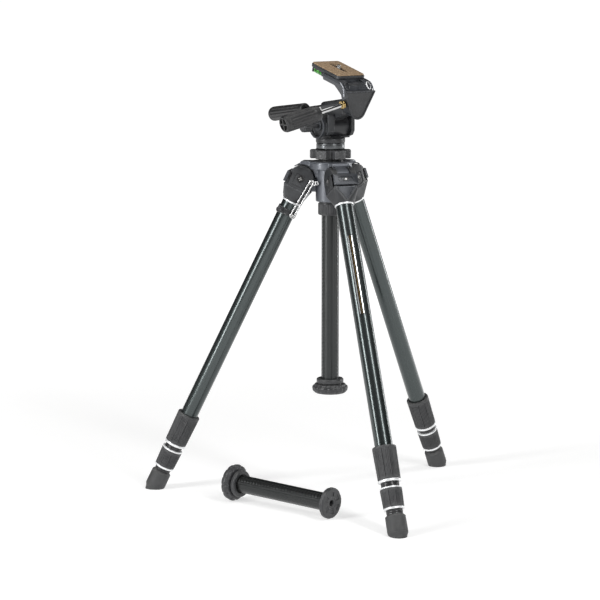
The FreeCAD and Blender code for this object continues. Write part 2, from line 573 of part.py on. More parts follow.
def arm():
    body = plate_yz(side_profile(), -ARM_HALF_WIDTH, ARM_HALF_WIDTH)
    body = body.common(plate_xz(front_outline(ARM_FOOT_R, ARM_HALF_WIDTH, 84.0), -90.0, 20.0))
    valley = block(-16.0, 16.0, -70.0, -33.0, ARM_TOP - 4.0, ARM_TOP + 1.0)
    body = body.cut(valley)
    body = body.cut(rod(SIDE_PIVOT_R + RUNNING_GAP, 40.0, vec(0, ARM_BACK + 5.0, SIDE_PIVOT_HEIGHT), Y * -1))
    seat = rod(ROD_R + RUNNING_GAP, 8.0, vec(*COLLAR_POINT) - SIDE_AXIS * 7.0, SIDE_AXIS)
    body = body.cut(seat).cut(rod(COLLAR_R, 8.0, vec(*COLLAR_POINT), SIDE_AXIS))
    half = SCREW_KNOB_R + KNOB_ROOM
    return body.cut(block(-half, half, PLATFORM_Y - SLOT_LENGTH / 2 - half, ARM_REAR + 1.0, 60.0, ARM_TOP + 1.0))


def arm_cover():
    outline = plate_xz(front_outline(ARM_FOOT_R + 1.0, ARM_HALF_WIDTH + 1.0, 78.0), -90.0, 20.0)
    low, high = SIDE_PIVOT_HEIGHT - ARM_FOOT_R - 1.0, 78.0
    slope = ARM_LEAN / (ARM_TOP - ARM_BEND_R - (SIDE_PIVOT_HEIGHT - ARM_FOOT_R))
    face = [(ARM_FRONT - slope * max(ARM_TOP - ARM_BEND_R - z, 0.0), z) for z in (low, ARM_TOP - ARM_BEND_R)]
    top_y = ARM_FRONT + 2.4
    back = face + [(top_y, high)]
    front = [(y - COVER_THICK, z) for y, z in reversed(back)]
    slab = plate_yz(back + front, -40.0, 40.0)
    return slab.common(outline).cut(arm())


def platform():
    y0, y1 = PLATFORM_Y - PLATFORM_LENGTH / 2, PLATFORM_Y + PLATFORM_LENGTH / 2
    half = PLATFORM_WIDTH / 2
    plate = block(-half, half, y0, y1, ARM_TOP, ARM_TOP + PLATE_THICK)
    plate = plate.makeFillet(3.0, [e for e in plate.Edges if abs(e.Vertexes[0].Z - e.Vertexes[-1].Z) > 1])
    top = ARM_TOP + PLATE_THICK
    cork = block(-half + 1, half - 1, y0 + 1, y1 - 1, top, top + CORK_THICK)
    cork = cork.makeFillet(2.0, [e for e in cork.Edges if abs(e.Vertexes[0].Z - e.Vertexes[-1].Z) > 1])
    run = SLOT_LENGTH / 2
    wide = SCREW_R + 0.25
    slot = block(-wide, wide, PLATFORM_Y - run, PLATFORM_Y + run, ARM_TOP - 1, top + 5)
    for side in (-1, 1):
        slot = slot.fuse(rod(wide, top + 6 - ARM_TOP, vec(0, PLATFORM_Y + side * run, ARM_TOP - 1)))
    screw_top = top + CORK_THICK + SCREW_PROUD
    knob_top = ARM_TOP - 0.3
    neck_top = screw_top - SCREW_PROUD + SCREW_NECK_PROUD
    screw = rod(SCREW_NECK_R, neck_top - knob_top, vec(0, PLATFORM_Y, knob_top))
    screw = screw.fuse(rod(SCREW_R, screw_top - neck_top, vec(0, PLATFORM_Y, neck_top)))
    knob = rod(SCREW_KNOB_R, SCREW_KNOB_HEIGHT, vec(0, PLATFORM_Y, knob_top - SCREW_KNOB_HEIGHT))
    notch = rod(1.5, SCREW_KNOB_HEIGHT, vec(SCREW_KNOB_R + 0.5, PLATFORM_Y, knob_top - SCREW_KNOB_HEIGHT))
    knob = knob.cut(Part.makeCompound(around(notch, 14, vec(0, PLATFORM_Y, 0))))
    return {"platform": plate.cut(slot), "cork_pad": cork.cut(slot), "camera_screw": screw,
            "camera_screw_knob": knob}


def spirit_level():
    half = PLATFORM_WIDTH / 2
    x = -half + LEVEL_R + 1.2
    y0 = PLATFORM_Y + 6.0
    z = ARM_TOP - LEVEL_R - 0.6
    holder = block(x - LEVEL_R - 1.0, x + LEVEL_R + 1.6, y0 - 2.5, y0 + LEVEL_LENGTH + 2.5, z - LEVEL_R * 0.7, ARM_TOP)
    vial = rod(LEVEL_R, LEVEL_LENGTH, vec(x, y0, z), Y)
    return {"level_holder": holder.cut(vial), "level_vial": vial}


def head_parts():
    """All head pieces in place; returns name to shape."""
    fixed = dict(pan_base())
    fixed["pan_lock_knob"] = pan_knob()
    tilting = dict(tilt_block())
    tilting.update(handles())
    tilting.update({"tilt_arm": arm(), "arm_cover": arm_cover()})
    tilting.update(platform())
    tilting.update(spirit_level())
    tilted = {name: turned(shape, X, TILT) for name, shape in tilting.items()}
    fixed.update(tilted)
    centre = vec(0, 0, TILT_Z)
    return {name: moved(turned(shape, Z, PAN), centre) for name, shape in fixed.items()}


# ---- spare short column ---------------------------------------------------------------------------------
def spare_column():
    foot = column_foot(SPARE_DISC_R, FOOT_RING_R, 0.0)
    seat = FOOT_DISC_HEIGHT + FOOT_RING_HEIGHT - 8.0
    foot = foot.cut(rod(COLUMN_R, 8.0, vec(0, 0, seat)))
    flange_at = SPARE_LENGTH - 9.0
    tube_part = tube(COLUMN_R, COLUMN_R - COLUMN_WALL, flange_at - seat, vec(0, 0, seat))
    flange = rod(SPARE_FLANGE_R, 9.0, vec(0, 0, flange_at))
    flange = flange.cut(tube(18.0, 11.0, 1.5, vec(0, 0, SPARE_LENGTH - 1.5)))
    flange = flange.cut(rod(SPARE_SOCKET_R, 9.0, vec(0, 0, flange_at)))
    lean = math.degrees(math.asin((SPARE_DISC_R - SPARE_FLANGE_R) / SPARE_LENGTH))
    placed = {}
    for name, shape in (("spare_column_foot", foot), ("spare_column_tube", tube_part), ("spare_column_flange", flange)):
        lying = turned(shape, Y, 90.0 + lean)
        lying.translate(vec(0, 0, SPARE_DISC_R / math.cos(math.radians(lean))))
        lying = turned(lying, Z, SPARE_DIRECTION)
        placed[name] = moved(lying, vec(SPARE_FOOT_AT[0], SPARE_FOOT_AT[1], 0))
    lowest = min(shape.BoundBox.ZMin for shape in placed.values())
    return {name: moved(shape, vec(0, 0, -lowest)) for name, shape in placed.items()}


# ---- the whole tripod -----------------------------------------------------------------------------------
def build():
    """Every node about the column's axis, and the offset that centres the footprint."""
    nodes = {"shoulder": shoulder(), "hip_bolts": hip_bolts()}
    nodes.update(column_clamp())
    nodes.update(centre_column())
    nodes.update(head_parts())
    nodes.update(spare_column())
    below = block(-900, 900, -900, 900, -100, 0)
    leg = leg_parts()
    for leg_name, azimuth in LEG_NAMES.items():
        for piece, shape in leg.items():
            placed = place_leg(shape, azimuth)
            if piece == "leg_foot":
                placed = placed.cut(below)
            nodes[leg_name + "_" + piece] = placed
    for piece, shape in strap_parts().items():
        nodes[piece] = place_leg(shape, LEG_NAMES["left"])
    corners = [p for shape in nodes.values() for p in shape.tessellate(0.05)[0]]
    middle_x = (min(p.x for p in corners) + max(p.x for p in corners)) / 2
    middle_y = (min(p.y for p in corners) + max(p.y for p in corners)) / 2
    shift = vec(-middle_x, -middle_y, 0)
    return {name: moved(shape, shift) for name, shape in nodes.items()}, shift


if __name__ == "__main__":
    os.makedirs("parts", exist_ok=True)
    parts, offset = build()
    for node, solid in parts.items():
        solid.exportStep("parts/" + node + ".step")
        print(node, len(solid.Solids), round(solid.Volume), solid.isValid())
    points = [point for solid in parts.values() for point in solid.tessellate(0.05)[0]]
    low = vec(min(p.x for p in points), min(p.y for p in points), min(p.z for p in points))
    high = vec(max(p.x for p in points), max(p.y for p in points), max(p.z for p in points))
    print("nodes", len(parts), "column axis at", round(offset.x, 3), round(offset.y, 3))
    print("size", [round(length, 1) for length in high - low], "lowest", round(low.z, 3))
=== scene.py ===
"""Looks of a photographic tripod with a three-way head and a spare short column.

Each sub-assembly is a class. Its sizes are millimetres in the sub-assembly's own local frame, and a
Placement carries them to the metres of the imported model. Local frames and main sizes come from the
packed joints and nodes, so a piece lands where the mechanical part stands.
"""
from __future__ import annotations

import json
import logging
import math
from dataclasses import dataclass, field
from enum import Enum
from typing import Any, Callable, Sequence

import bmesh
import bpy
import numpy as np
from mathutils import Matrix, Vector

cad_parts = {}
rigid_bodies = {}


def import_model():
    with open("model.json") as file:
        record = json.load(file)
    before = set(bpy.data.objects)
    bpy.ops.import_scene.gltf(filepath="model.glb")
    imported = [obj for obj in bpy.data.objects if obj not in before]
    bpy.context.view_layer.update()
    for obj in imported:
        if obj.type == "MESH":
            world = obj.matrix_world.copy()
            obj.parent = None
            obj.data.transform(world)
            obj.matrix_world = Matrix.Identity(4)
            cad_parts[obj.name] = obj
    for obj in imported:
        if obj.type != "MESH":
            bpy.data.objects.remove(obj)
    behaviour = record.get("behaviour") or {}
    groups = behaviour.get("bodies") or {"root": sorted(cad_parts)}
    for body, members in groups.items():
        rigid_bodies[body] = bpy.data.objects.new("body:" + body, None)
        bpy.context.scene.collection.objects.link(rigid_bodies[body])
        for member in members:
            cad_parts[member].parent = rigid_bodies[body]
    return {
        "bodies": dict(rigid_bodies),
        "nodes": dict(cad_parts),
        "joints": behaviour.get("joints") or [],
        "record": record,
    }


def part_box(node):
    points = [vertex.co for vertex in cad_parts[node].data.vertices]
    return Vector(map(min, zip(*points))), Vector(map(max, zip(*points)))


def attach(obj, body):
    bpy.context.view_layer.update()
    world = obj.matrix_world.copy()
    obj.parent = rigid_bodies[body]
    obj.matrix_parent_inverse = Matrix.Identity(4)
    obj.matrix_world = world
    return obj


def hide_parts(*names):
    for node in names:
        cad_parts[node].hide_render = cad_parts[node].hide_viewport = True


LOG = logging.getLogger("tripod")
MM = 0.001
TURN = 2.0 * math.pi
MERGE = 2e-6            # points nearer than this, in metres, are one point
DUST = (0.42, 0.41, 0.39, 1.0)
UV_NAME = "surface"
LOOK = "_look"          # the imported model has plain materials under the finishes' own names

Array = np.ndarray
Carve = Callable[[Array, Array, Array], tuple[Array, Array]]


# ---- local frames -----------------------------------------------------------------------------
@dataclass(frozen=True)
class Placement:
    """A local frame: its origin in metres, and its three axes as rows."""

    origin: Array
    axes: Array

    @classmethod
    def from_axes(cls, origin: Sequence[float], x: Sequence[float], z: Sequence[float]) -> Placement:
        """Makes a right-handed frame; x is made square to z.

        Args:
            origin: The frame's origin in world metres.
            x: Roughly the local x axis.
            z: The local z axis.

        Returns:
            The frame.
        """
        up = np.asarray(z, float) / np.linalg.norm(z)
        side = np.asarray(x, float) - up * np.dot(x, up)
        side /= np.linalg.norm(side)
        return cls(np.asarray(origin, float), np.stack([side, np.cross(up, side), up]))

    def world(self, points: Array) -> Array:
        """Carries local millimetres to world metres."""
        return self.origin + (points * MM) @ self.axes

    def local(self, points: Array) -> Array:
        """Carries world metres to local millimetres."""
        return ((points - self.origin) @ self.axes.T) / MM

    def child(self, at: Sequence[float] = (0, 0, 0), x: Sequence[float] = (1, 0, 0),
              z: Sequence[float] = (0, 0, 1)) -> Placement:
        """Makes a frame inside this one.

        Args:
            at: Its origin, in this frame's millimetres.
            x: Its x axis, in this frame.
            z: Its z axis, in this frame.

        Returns:
            The inner frame.
        """
        origin = self.world(np.asarray(at, float))
        return Placement.from_axes(origin, np.asarray(x, float) @ self.axes, np.asarray(z, float) @ self.axes)


class PackedFrame:
    """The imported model: what its nodes measure and where its joints are."""

    def __init__(self, frame: dict[str, Any]) -> None:
        """Keeps the nodes, the joints and the body of each node."""
        self.nodes = frame["nodes"]
        self.joints = {joint["name"]: joint for joint in frame["joints"]}
        bodies = frame["record"]["behaviour"]["bodies"]
        self.body = {node: body for body, members in bodies.items() for node in members}

    def anchor(self, joint: str) -> Array:
        """Where a hinge stands, in metres."""
        return np.array(self.joints[joint]["pos_m"], float)

    def axis(self, joint: str) -> Array:
        """A joint's direction."""
        return np.array(self.joints[joint]["axis"], float)

    def corners(self, node: str, place: Placement) -> Array:
        """A node's points in a local frame, in millimetres."""
        mesh = self.nodes[node].data
        flat = np.empty(len(mesh.vertices) * 3)
        mesh.vertices.foreach_get("co", flat)
        return place.local(flat.reshape(-1, 3))

    def extent(self, node: str, place: Placement) -> tuple[Array, Array]:
        """A node's lowest and highest corner in a local frame."""
        points = self.corners(node, place)
        return points.min(axis=0), points.max(axis=0)

    def span(self, node: str, place: Placement) -> tuple[float, float]:
        """A node's lowest and highest place along the local z axis."""
        low, high = self.extent(node, place)
        return float(low[2]), float(high[2])

    def reach(self, node: str, place: Placement) -> float:
        """A node's largest distance from the local z axis."""
        points = self.corners(node, place)
        return float(np.hypot(points[:, 0], points[:, 1]).max())


# ---- shapes as arrays ----------------------------------------------------------------------------
def eased(value: Array | float, low: float, high: float) -> Array:
    """A smooth step: 3t² − 2t³, where t runs from 0 at low to 1 at high."""
    t = np.clip((value - low) / (high - low), 0.0, 1.0)
    return t * t * (3.0 - 2.0 * t)


def rounded(corners: Sequence[Sequence[float]], radius: float | Sequence[float], closed: bool = False,
            steps: int = 5) -> Array:
    """Rounds the corners of a path.

    Each corner becomes a parabola (1−t)²·a + 2t(1−t)·corner + t²·b, whose ends a and b stand a
    radius away from the corner along its two runs, or half a run where that is shorter.

    Args:
        corners: The path's corner points.
        radius: One distance for all corners, or one for each.
        closed: Whether the last point joins the first.
        steps: How many points each corner gets.

    Returns:
        The path's points; a closed path ends on its first point.
    """
    points = np.asarray(corners, float)
    before, after = np.roll(points, 1, 0) - points, np.roll(points, -1, 0) - points
    run_before = np.linalg.norm(before, axis=1, keepdims=True)
    run_after = np.linalg.norm(after, axis=1, keepdims=True)
    wanted = np.broadcast_to(np.asarray(radius, float), len(points))[:, None]
    reach = np.minimum(wanted, 0.499 * np.minimum(run_before, run_after))
    if not closed:
        reach = reach.copy()
        reach[[0, -1]] = 0.0
    start, end = points + before / run_before * reach, points + after / run_after * reach
    t = np.linspace(0.0, 1.0, steps)[None, :, None]
    curve = (1 - t) ** 2 * start[:, None] + 2 * t * (1 - t) * points[:, None] + t ** 2 * end[:, None]
    path = curve.reshape(-1, points.shape[1])
    keep = np.append(True, np.linalg.norm(np.diff(path, axis=0), axis=1) > 1e-6)
    path = path[keep]
    return np.concatenate([path, path[:1]]) if closed else path


def arc(centre: Sequence[float], radius: float, first: float, last: float, steps: int = 17) -> Array:
    """Points of an arc: centre + radius·(cos a, sin a), a from first to last, in degrees."""
    angle = np.radians(np.linspace(first, last, steps))
    return np.stack([centre[0] + radius * np.cos(angle), centre[1] + radius * np.sin(angle)], axis=1)


def divided(path: Array, step: float) -> Array:
    """Adds points along a path.

    The path is read at its own corners and at even distances along it.

    Args:
        path: The points.
        step: The longest distance between two points of the result.

    Returns:
        The denser path.
    """
    along = np.append(0.0, np.cumsum(np.linalg.norm(np.diff(path, axis=0), axis=1)))
    even = np.linspace(0.0, along[-1], int(math.ceil(along[-1] / step)) + 1)
    marks = np.union1d(along, even)
    return np.stack([np.interp(marks, along, path[:, k]) for k in range(path.shape[1])], axis=1)


def lathe(profile: Array, columns: int, carve: Carve | None = None) -> Array:
    """Turns a profile about the z axis.

    Point (i, j) is (r·cos a, r·sin a, h), where (r, h) is the profile's point i after carving and a
    goes once round in equal steps.

    Args:
        profile: Points (radius, height).
        columns: How many steps go round.
        carve: Changes radius and height, given angle, radius and height.

    Returns:
        The grid of points.
    """
    turn = np.linspace(0.0, TURN, columns + 1)[None, :]
    radius, height = profile[:, :1] + 0 * turn, profile[:, 1:2] + 0 * turn
    if carve is not None:
        radius, height = carve(turn + 0 * radius, radius, height)
    radius = np.where(profile[:, :1] <= 0.0, 0.0, radius)
    return np.stack([radius * np.cos(turn), radius * np.sin(turn), height], axis=-1)


def outward(loop: Array) -> Array:
    """Unit normals of a flat closed loop, pointing away from its inside."""
    run = np.roll(loop[:-1], -1, 0) - np.roll(loop[:-1], 1, 0)
    normal = np.stack([run[:, 1], -run[:, 0]], axis=1)
    normal /= np.maximum(np.linalg.norm(normal, axis=1, keepdims=True), 1e-9)
    x, y = loop[:-1].T
    if np.sum(x * np.roll(y, -1) - np.roll(x, -1) * y) < 0:
        normal = -normal
    return np.concatenate([normal, normal[:1]])


def slab(loop: Array, low: float, high: float, edge: float = 0.6, steps: int = 4) -> Array:
    """A flat shape with rounded rims.

    Row by row the loop moves in by edge·(1−sin a) and up by edge·(1−cos a) for a quarter turn at
    the bottom, and the same mirrored at the top.

    Args:
        loop: The closed outline.
        low: The bottom's height.
        high: The top's height.
        edge: The rim's radius.
        steps: How many rows a rim has.

    Returns:
        The grid of points, one row for each height, to be capped at both ends.
    """
    angle = np.linspace(0.0, math.pi / 2, steps)
    inset = edge * (1 - np.sin(angle))
    rise = edge * (1 - np.cos(angle))
    insets = np.concatenate([inset, inset[::-1]])
    heights = np.concatenate([low + rise, (high - rise)[::-1]])
    flat = loop[None] - outward(loop)[None] * insets[:, None, None]
    return np.concatenate([flat, np.broadcast_to(heights[:, None, None], flat.shape[:2] + (1,))], axis=-1)


def holed_slab(loop: Array, hole: Array, low: float, high: float, edge: float = 0.4) -> Array:
    """A flat shape with a hole: the outer wall's rows, then the hole's rows, then the first row again.

    Args:
        loop: The outer outline.
        hole: The hole's outline, with as many points in the same order.
        low: The bottom's height.
        high: The top's height.
        edge: The rims' radius.

    Returns:
        The closed grid of points.
    """
    outer = slab(loop, low, high, edge)
    inner = slab(hole, low, high, -edge)[::-1]
    return np.concatenate([outer, inner, outer[:1]])


def tube_along(path: Array, radius: float, columns: int = 16, closed: bool = False) -> Array:
    """Carries a circle along a flat path in the x–z plane.

    Point (i, j) is p + r·(cos a·n + sin a·y), where n is the path's in-plane normal at point i.

    Args:
        path: Points (x, z).
        radius: The circle's radius.
        columns: How many steps go round.
        closed: Whether the path's last point is its first.

    Returns:
        The grid of points.
    """
    run = np.gradient(path, axis=0)
    if closed:
        run[0] = run[-1] = path[1] - path[-2]
    run /= np.linalg.norm(run, axis=1, keepdims=True)
    turn = np.linspace(0.0, TURN, columns + 1)[None, :]
    x = path[:, :1] + radius * np.cos(turn) * -run[:, 1:]
    z = path[:, 1:] + radius * np.cos(turn) * run[:, :1]
    return np.stack([x, radius * np.sin(turn) + 0 * x, z], axis=-1)


def box_loop(width: float, depth: float, radius: float, centre: Sequence[float] = (0, 0)) -> Array:
    """A rectangle with rounded corners, as a closed loop."""
    x, y = width / 2, depth / 2
    corners = np.array([(-x, -y), (x, -y), (x, y), (-x, y)]) + np.asarray(centre, float)
    return rounded(corners, radius, closed=True, steps=7)


def ring_profile(outer: float, inner: float, low: float, high: float, edge: float = 0.5) -> Array:
    """The closed section (radius, height) of a ring or tube, with rounded rims."""
    return rounded([(inner, low), (outer, low), (outer, high), (inner, high)], edge, closed=True)


def ridges(turn: Array, count: int, sharp: float = 1.0) -> Array:
    """Evenly spaced ridges round an axis: (½ + ½·cos(count·a)) to the power sharp."""
    return (0.5 + 0.5 * np.cos(count * turn)) ** sharp


# ---- pieces ------------------------------------------------------------------------------------------
@dataclass
class Patch:
    """A grid of points, with capped ends if it is an open shell, and the finish that it takes."""

    points: Array
    capped: bool = False
    finish: int = 0
    surface: bool = False      # whether it gets surface coordinates: round the axis, and along z


class Workshop:
    """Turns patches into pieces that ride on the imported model's bodies."""

    def __init__(self, packed: PackedFrame) -> None:
        """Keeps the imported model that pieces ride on."""
        self.packed = packed

    def mesh(self, name: str, patches: Sequence[Patch], place: Placement) -> bpy.types.Mesh:
        """Joins patches into one mesh, with merged seams and outward faces.

        Args:
            name: The mesh's name.
            patches: The grids.
            place: Their local frame.

        Returns:
            The mesh, in world metres.
        """
        points, faces, finishes, coordinates, base = [], [], [], [], 0
        for patch in patches:
            rows, columns = patch.points.shape[:2]
            index = base + np.arange(rows * columns).reshape(rows, columns)
            quads = np.stack([index[:-1, :-1], index[:-1, 1:], index[1:, 1:], index[1:, :-1]], axis=-1)
            fresh = quads.reshape(-1, 4).tolist()
            if patch.capped:
                fresh += [index[0, :-1][::-1].tolist(), index[-1, :-1].tolist()]
            faces += fresh
            finishes += [patch.finish] * len(fresh)
            points.append(patch.points.reshape(-1, 3))
            girth = np.hypot(patch.points[..., 0], patch.points[..., 1]).max()
            around = np.linspace(0.0, TURN * girth, columns)[None, :] + np.zeros((rows, 1))
            coordinates.append(np.stack([around, patch.points[..., 2]], axis=-1).reshape(-1, 2))
            base += rows * columns
        mesh = bpy.data.meshes.new(name)
        mesh.from_pydata(place.world(np.concatenate(points)).tolist(), [], faces)
        mesh.polygons.foreach_set("material_index", finishes)
        if any(patch.surface for patch in patches):
            layer = mesh.uv_layers.new(name=UV_NAME)
            order = np.empty(len(mesh.loops), dtype=np.int32)
            mesh.loops.foreach_get("vertex_index", order)
            layer.data.foreach_set("uv", (np.concatenate(coordinates)[order] * MM).ravel())
        shell = bmesh.new()
        shell.from_mesh(mesh)
        bmesh.ops.remove_doubles(shell, verts=shell.verts, dist=MERGE)
        bmesh.ops.dissolve_degenerate(shell, edges=shell.edges, dist=MERGE)
        bmesh.ops.recalc_face_normals(shell, faces=shell.faces)
        shell.to_mesh(mesh)
        shell.free()
        return mesh

    def piece(self, name: str, mesh: bpy.types.Mesh, finishes: Sequence[Finish], on: str,
              replaces: Sequence[str] = (), crease: float = 38.0) -> bpy.types.Object:
        """Makes a mesh a piece of the object.

        Args:
            name: The piece's name.
            mesh: Its mesh, in world metres.
            finishes: Its finishes, in the order of the mesh's finish numbers.
            on: The node whose body it rides on.
            replaces: The nodes that it stands for.
            crease: The angle past which an edge stays sharp, in degrees.

        Returns:
            The piece.
        """
        mesh.shade_smooth()
        mesh.set_sharp_from_angle(angle=math.radians(crease))
        for finish in finishes:
            mesh.materials.append(finish.material())
        made = bpy.data.objects.new(name, mesh)
        bpy.context.scene.collection.objects.link(made)
        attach(made, self.packed.body[on])
        if replaces:
            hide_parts(*replaces)
        LOG.info("%s: %d faces on %s", name, len(mesh.polygons), self.packed.body[on])
        return made

    def build(self, name: str, patches: Sequence[Patch], place: Placement, finishes: Sequence[Finish],
              on: str, replaces: Sequence[str] = (), crease: float = 38.0) -> bpy.types.Object:
        """Makes a piece straight from patches; see mesh() and piece()."""
        return self.piece(name, self.mesh(name, patches, place), finishes, on, replaces, crease)

    def casting(self, name: str, node: str, finish: Finish, cell: float, relax: int = 4) -> bpy.types.Object:
        """Makes a piece from a node's own shape, with the small radii of a die casting.

        A merged copy of the node is rebuilt in even cells and relaxed a few times, which rolls each
        sharp edge over by about a cell.

        Args:
            name: The piece's name.
            node: The node that it copies and replaces.
            finish: Its finish.
            cell: The cell size in millimetres.
            relax: How many times it is relaxed.

        Returns:
            The piece.
        """
        shell = bmesh.new()
        shell.from_mesh(self.packed.nodes[node].data)
        bmesh.ops.remove_doubles(shell, verts=shell.verts, dist=MERGE * 5)
        rough = bpy.data.meshes.new(name + "_rough")
        shell.to_mesh(rough)
        shell.free()
        carrier = bpy.data.objects.new(name + "_rough", rough)
        bpy.context.scene.collection.objects.link(carrier)
        cells = carrier.modifiers.new("cells", "REMESH")
        cells.mode = "VOXEL"
        cells.voxel_size = cell * MM
        smooth = carrier.modifiers.new("relax", "SMOOTH")
        smooth.factor, smooth.iterations = 0.5, relax
        mesh = bpy.data.meshes.new_from_object(carrier.evaluated_get(bpy.context.evaluated_depsgraph_get()))
        mesh.name = name
        bpy.data.objects.remove(carrier)
        bpy.data.meshes.remove(rough)
        return self.piece(name, mesh, [finish], node, [node], crease=60.0)


# ---- finishes ------------------------------------------------------------------------------------------
class Texture(Enum):
    """The fine relief that a finish has."""

    GRAIN = "grain"
    DRAWN = "drawn"
    TURNED = "turned"
    STIPPLE = "stipple"


class Nodes:
    """Adds shader nodes to a tree in few words."""

    def __init__(self, tree: bpy.types.NodeTree) -> None:
        """Keeps the tree."""
        self.tree = tree

    def add(self, kind: str, feeds: dict[Any, Any] | None = None, **settings: Any) -> bpy.types.Node:
        """Adds a node.

        Args:
            kind: The node's type, without its ShaderNode prefix.
            feeds: What its inputs get, a value or another node's output, by name or number.
            **settings: The node's own properties.

        Returns:
            The node.
        """
        node = self.tree.nodes.new("ShaderNode" + kind)
        for key, value in settings.items():
            setattr(node, key, value)
        for key, value in (feeds or {}).items():
            if isinstance(value, bpy.types.NodeSocket):
                self.tree.links.new(value, node.inputs[key])
            else:
                node.inputs[key].default_value = value
        return node

    def math(self, operation: str, a: Any, b: Any = 0.0) -> bpy.types.NodeSocket:
        """The result of one sum."""
        return self.add("Math", {0: a, 1: b}, operation=operation).outputs[0]

    def blend(self, factor: Any, a: Any, b: Any) -> bpy.types.NodeSocket:
        """A colour between two colours."""
        return self.add("Mix", {0: factor, 6: a, 7: b}, data_type="RGBA").outputs[2]

    def step(self, value: Any, low: float, high: float, first: float = 0.0, last: float = 1.0,
             ) -> bpy.types.NodeSocket:
        """A smooth step from first to last as value goes from low to high."""
        feeds = {0: value, 1: low, 2: high, 3: first, 4: last}
        return self.add("MapRange", feeds, interpolation_type="SMOOTHSTEP").outputs[0]

    def noise(self, vector: Any, scale: Any, detail: float = 2.0) -> bpy.types.NodeSocket:
        """A cloudy value about one half."""
        return self.add("TexNoise", {"Vector": vector, "Scale": scale, "Detail": detail}).outputs[0]

    def group(self, tree: bpy.types.NodeTree, feeds: dict[str, Any]) -> bpy.types.Node:
        """Places a node group."""
        node = self.tree.nodes.new("ShaderNodeGroup")
        node.node_tree = tree
        for key, value in feeds.items():
            if isinstance(value, bpy.types.NodeSocket):
                self.tree.links.new(value, node.inputs[key])
            else:
                node.inputs[key].default_value = value
        return node


class Effects:
    """The node groups that finishes share; each is built once."""

    _made: dict[str, bpy.types.NodeTree] = {}

    @classmethod
    def _open(cls, name: str, inputs: dict[str, str], outputs: dict[str, str]) -> tuple[Nodes, Any, Any]:
        """Starts a group.

        Args:
            name: The group's name.
            inputs: Socket types by name.
            outputs: Socket types by name.

        Returns:
            The node adder, the input node and the output node.
        """
        tree = bpy.data.node_groups.new(name, "ShaderNodeTree")
        for label, kind in inputs.items():
            tree.interface.new_socket(label, in_out="INPUT", socket_type="NodeSocket" + kind)
        for label, kind in outputs.items():
            tree.interface.new_socket(label, in_out="OUTPUT", socket_type="NodeSocket" + kind)
        cls._made[name] = tree
        return Nodes(tree), tree.nodes.new("NodeGroupInput"), tree.nodes.new("NodeGroupOutput")

    @classmethod
    def texture(cls, kind: Texture) -> bpy.types.NodeTree:
        """The relief of a texture: Height from fine cells, Tone from broad clouds."""
        name = kind.value
        if name in cls._made:
            return cls._made[name]
        nodes, given, result = cls._open(name, {"Vector": "Vector", "Scale": "Float"},
                                         {"Height": "Float", "Tone": "Float"})
        vector = given.outputs["Vector"]
        scale = given.outputs["Scale"]
        if kind in (Texture.DRAWN, Texture.TURNED):
            stretch = (1.0, 0.02, 1.0) if kind is Texture.DRAWN else (0.02, 1.0, 1.0)
            vector = nodes.add("Mapping", {"Vector": vector, "Scale": stretch}).outputs[0]
        if kind is Texture.STIPPLE:
            cells = nodes.add("TexVoronoi", {"Vector": vector, "Scale": scale}, feature="SMOOTH_F1")
            fine = nodes.step(cells.outputs[0], 0.1, 0.6, 1.0, 0.0)
        else:
            fine = nodes.noise(vector, scale, 3.0)
        broad = nodes.noise(vector, nodes.math("MULTIPLY", scale, 0.06), 3.0)
        nodes.tree.links.new(fine, result.inputs["Height"])
        nodes.tree.links.new(nodes.step(broad, 0.3, 0.7), result.inputs["Tone"])
        return nodes.tree

    @classmethod
    def edge_wear(cls) -> bpy.types.NodeTree:
        """Where corners are rubbed: the surface's pointiness past a limit, broken up by noise."""
        if "edge_wear" in cls._made:
            return cls._made["edge_wear"]
        nodes, given, result = cls._open("edge_wear", {"Vector": "Vector", "Amount": "Float"},
                                         {"Mask": "Float"})
        sharp = nodes.step(nodes.add("NewGeometry").outputs["Pointiness"], 0.52, 0.60)
        broken = nodes.step(nodes.noise(given.outputs["Vector"], 420.0, 4.0), 0.35, 0.65)
        rubbed = nodes.math("MULTIPLY", sharp, broken)
        nodes.tree.links.new(nodes.math("MULTIPLY", rubbed, given.outputs["Amount"]), result.inputs["Mask"])
        return nodes.tree

    @classmethod
    def dust(cls) -> bpy.types.NodeTree:
        """A thin film on faces that look up: the normal's height, broken up by noise."""
        if "dust" in cls._made:
            return cls._made["dust"]
        nodes, given, result = cls._open("dust", {"Vector": "Vector", "Amount": "Float"}, {"Mask": "Float"})
        height = nodes.add("SeparateXYZ", {0: nodes.add("NewGeometry").outputs["Normal"]}).outputs[2]
        cloud = nodes.step(nodes.noise(given.outputs["Vector"], 90.0, 5.0), 0.3, 0.75)
        film = nodes.math("MULTIPLY", nodes.step(height, 0.2, 0.95), cloud)
        nodes.tree.links.new(nodes.math("MULTIPLY", film, given.outputs["Amount"]), result.inputs["Mask"])
        return nodes.tree


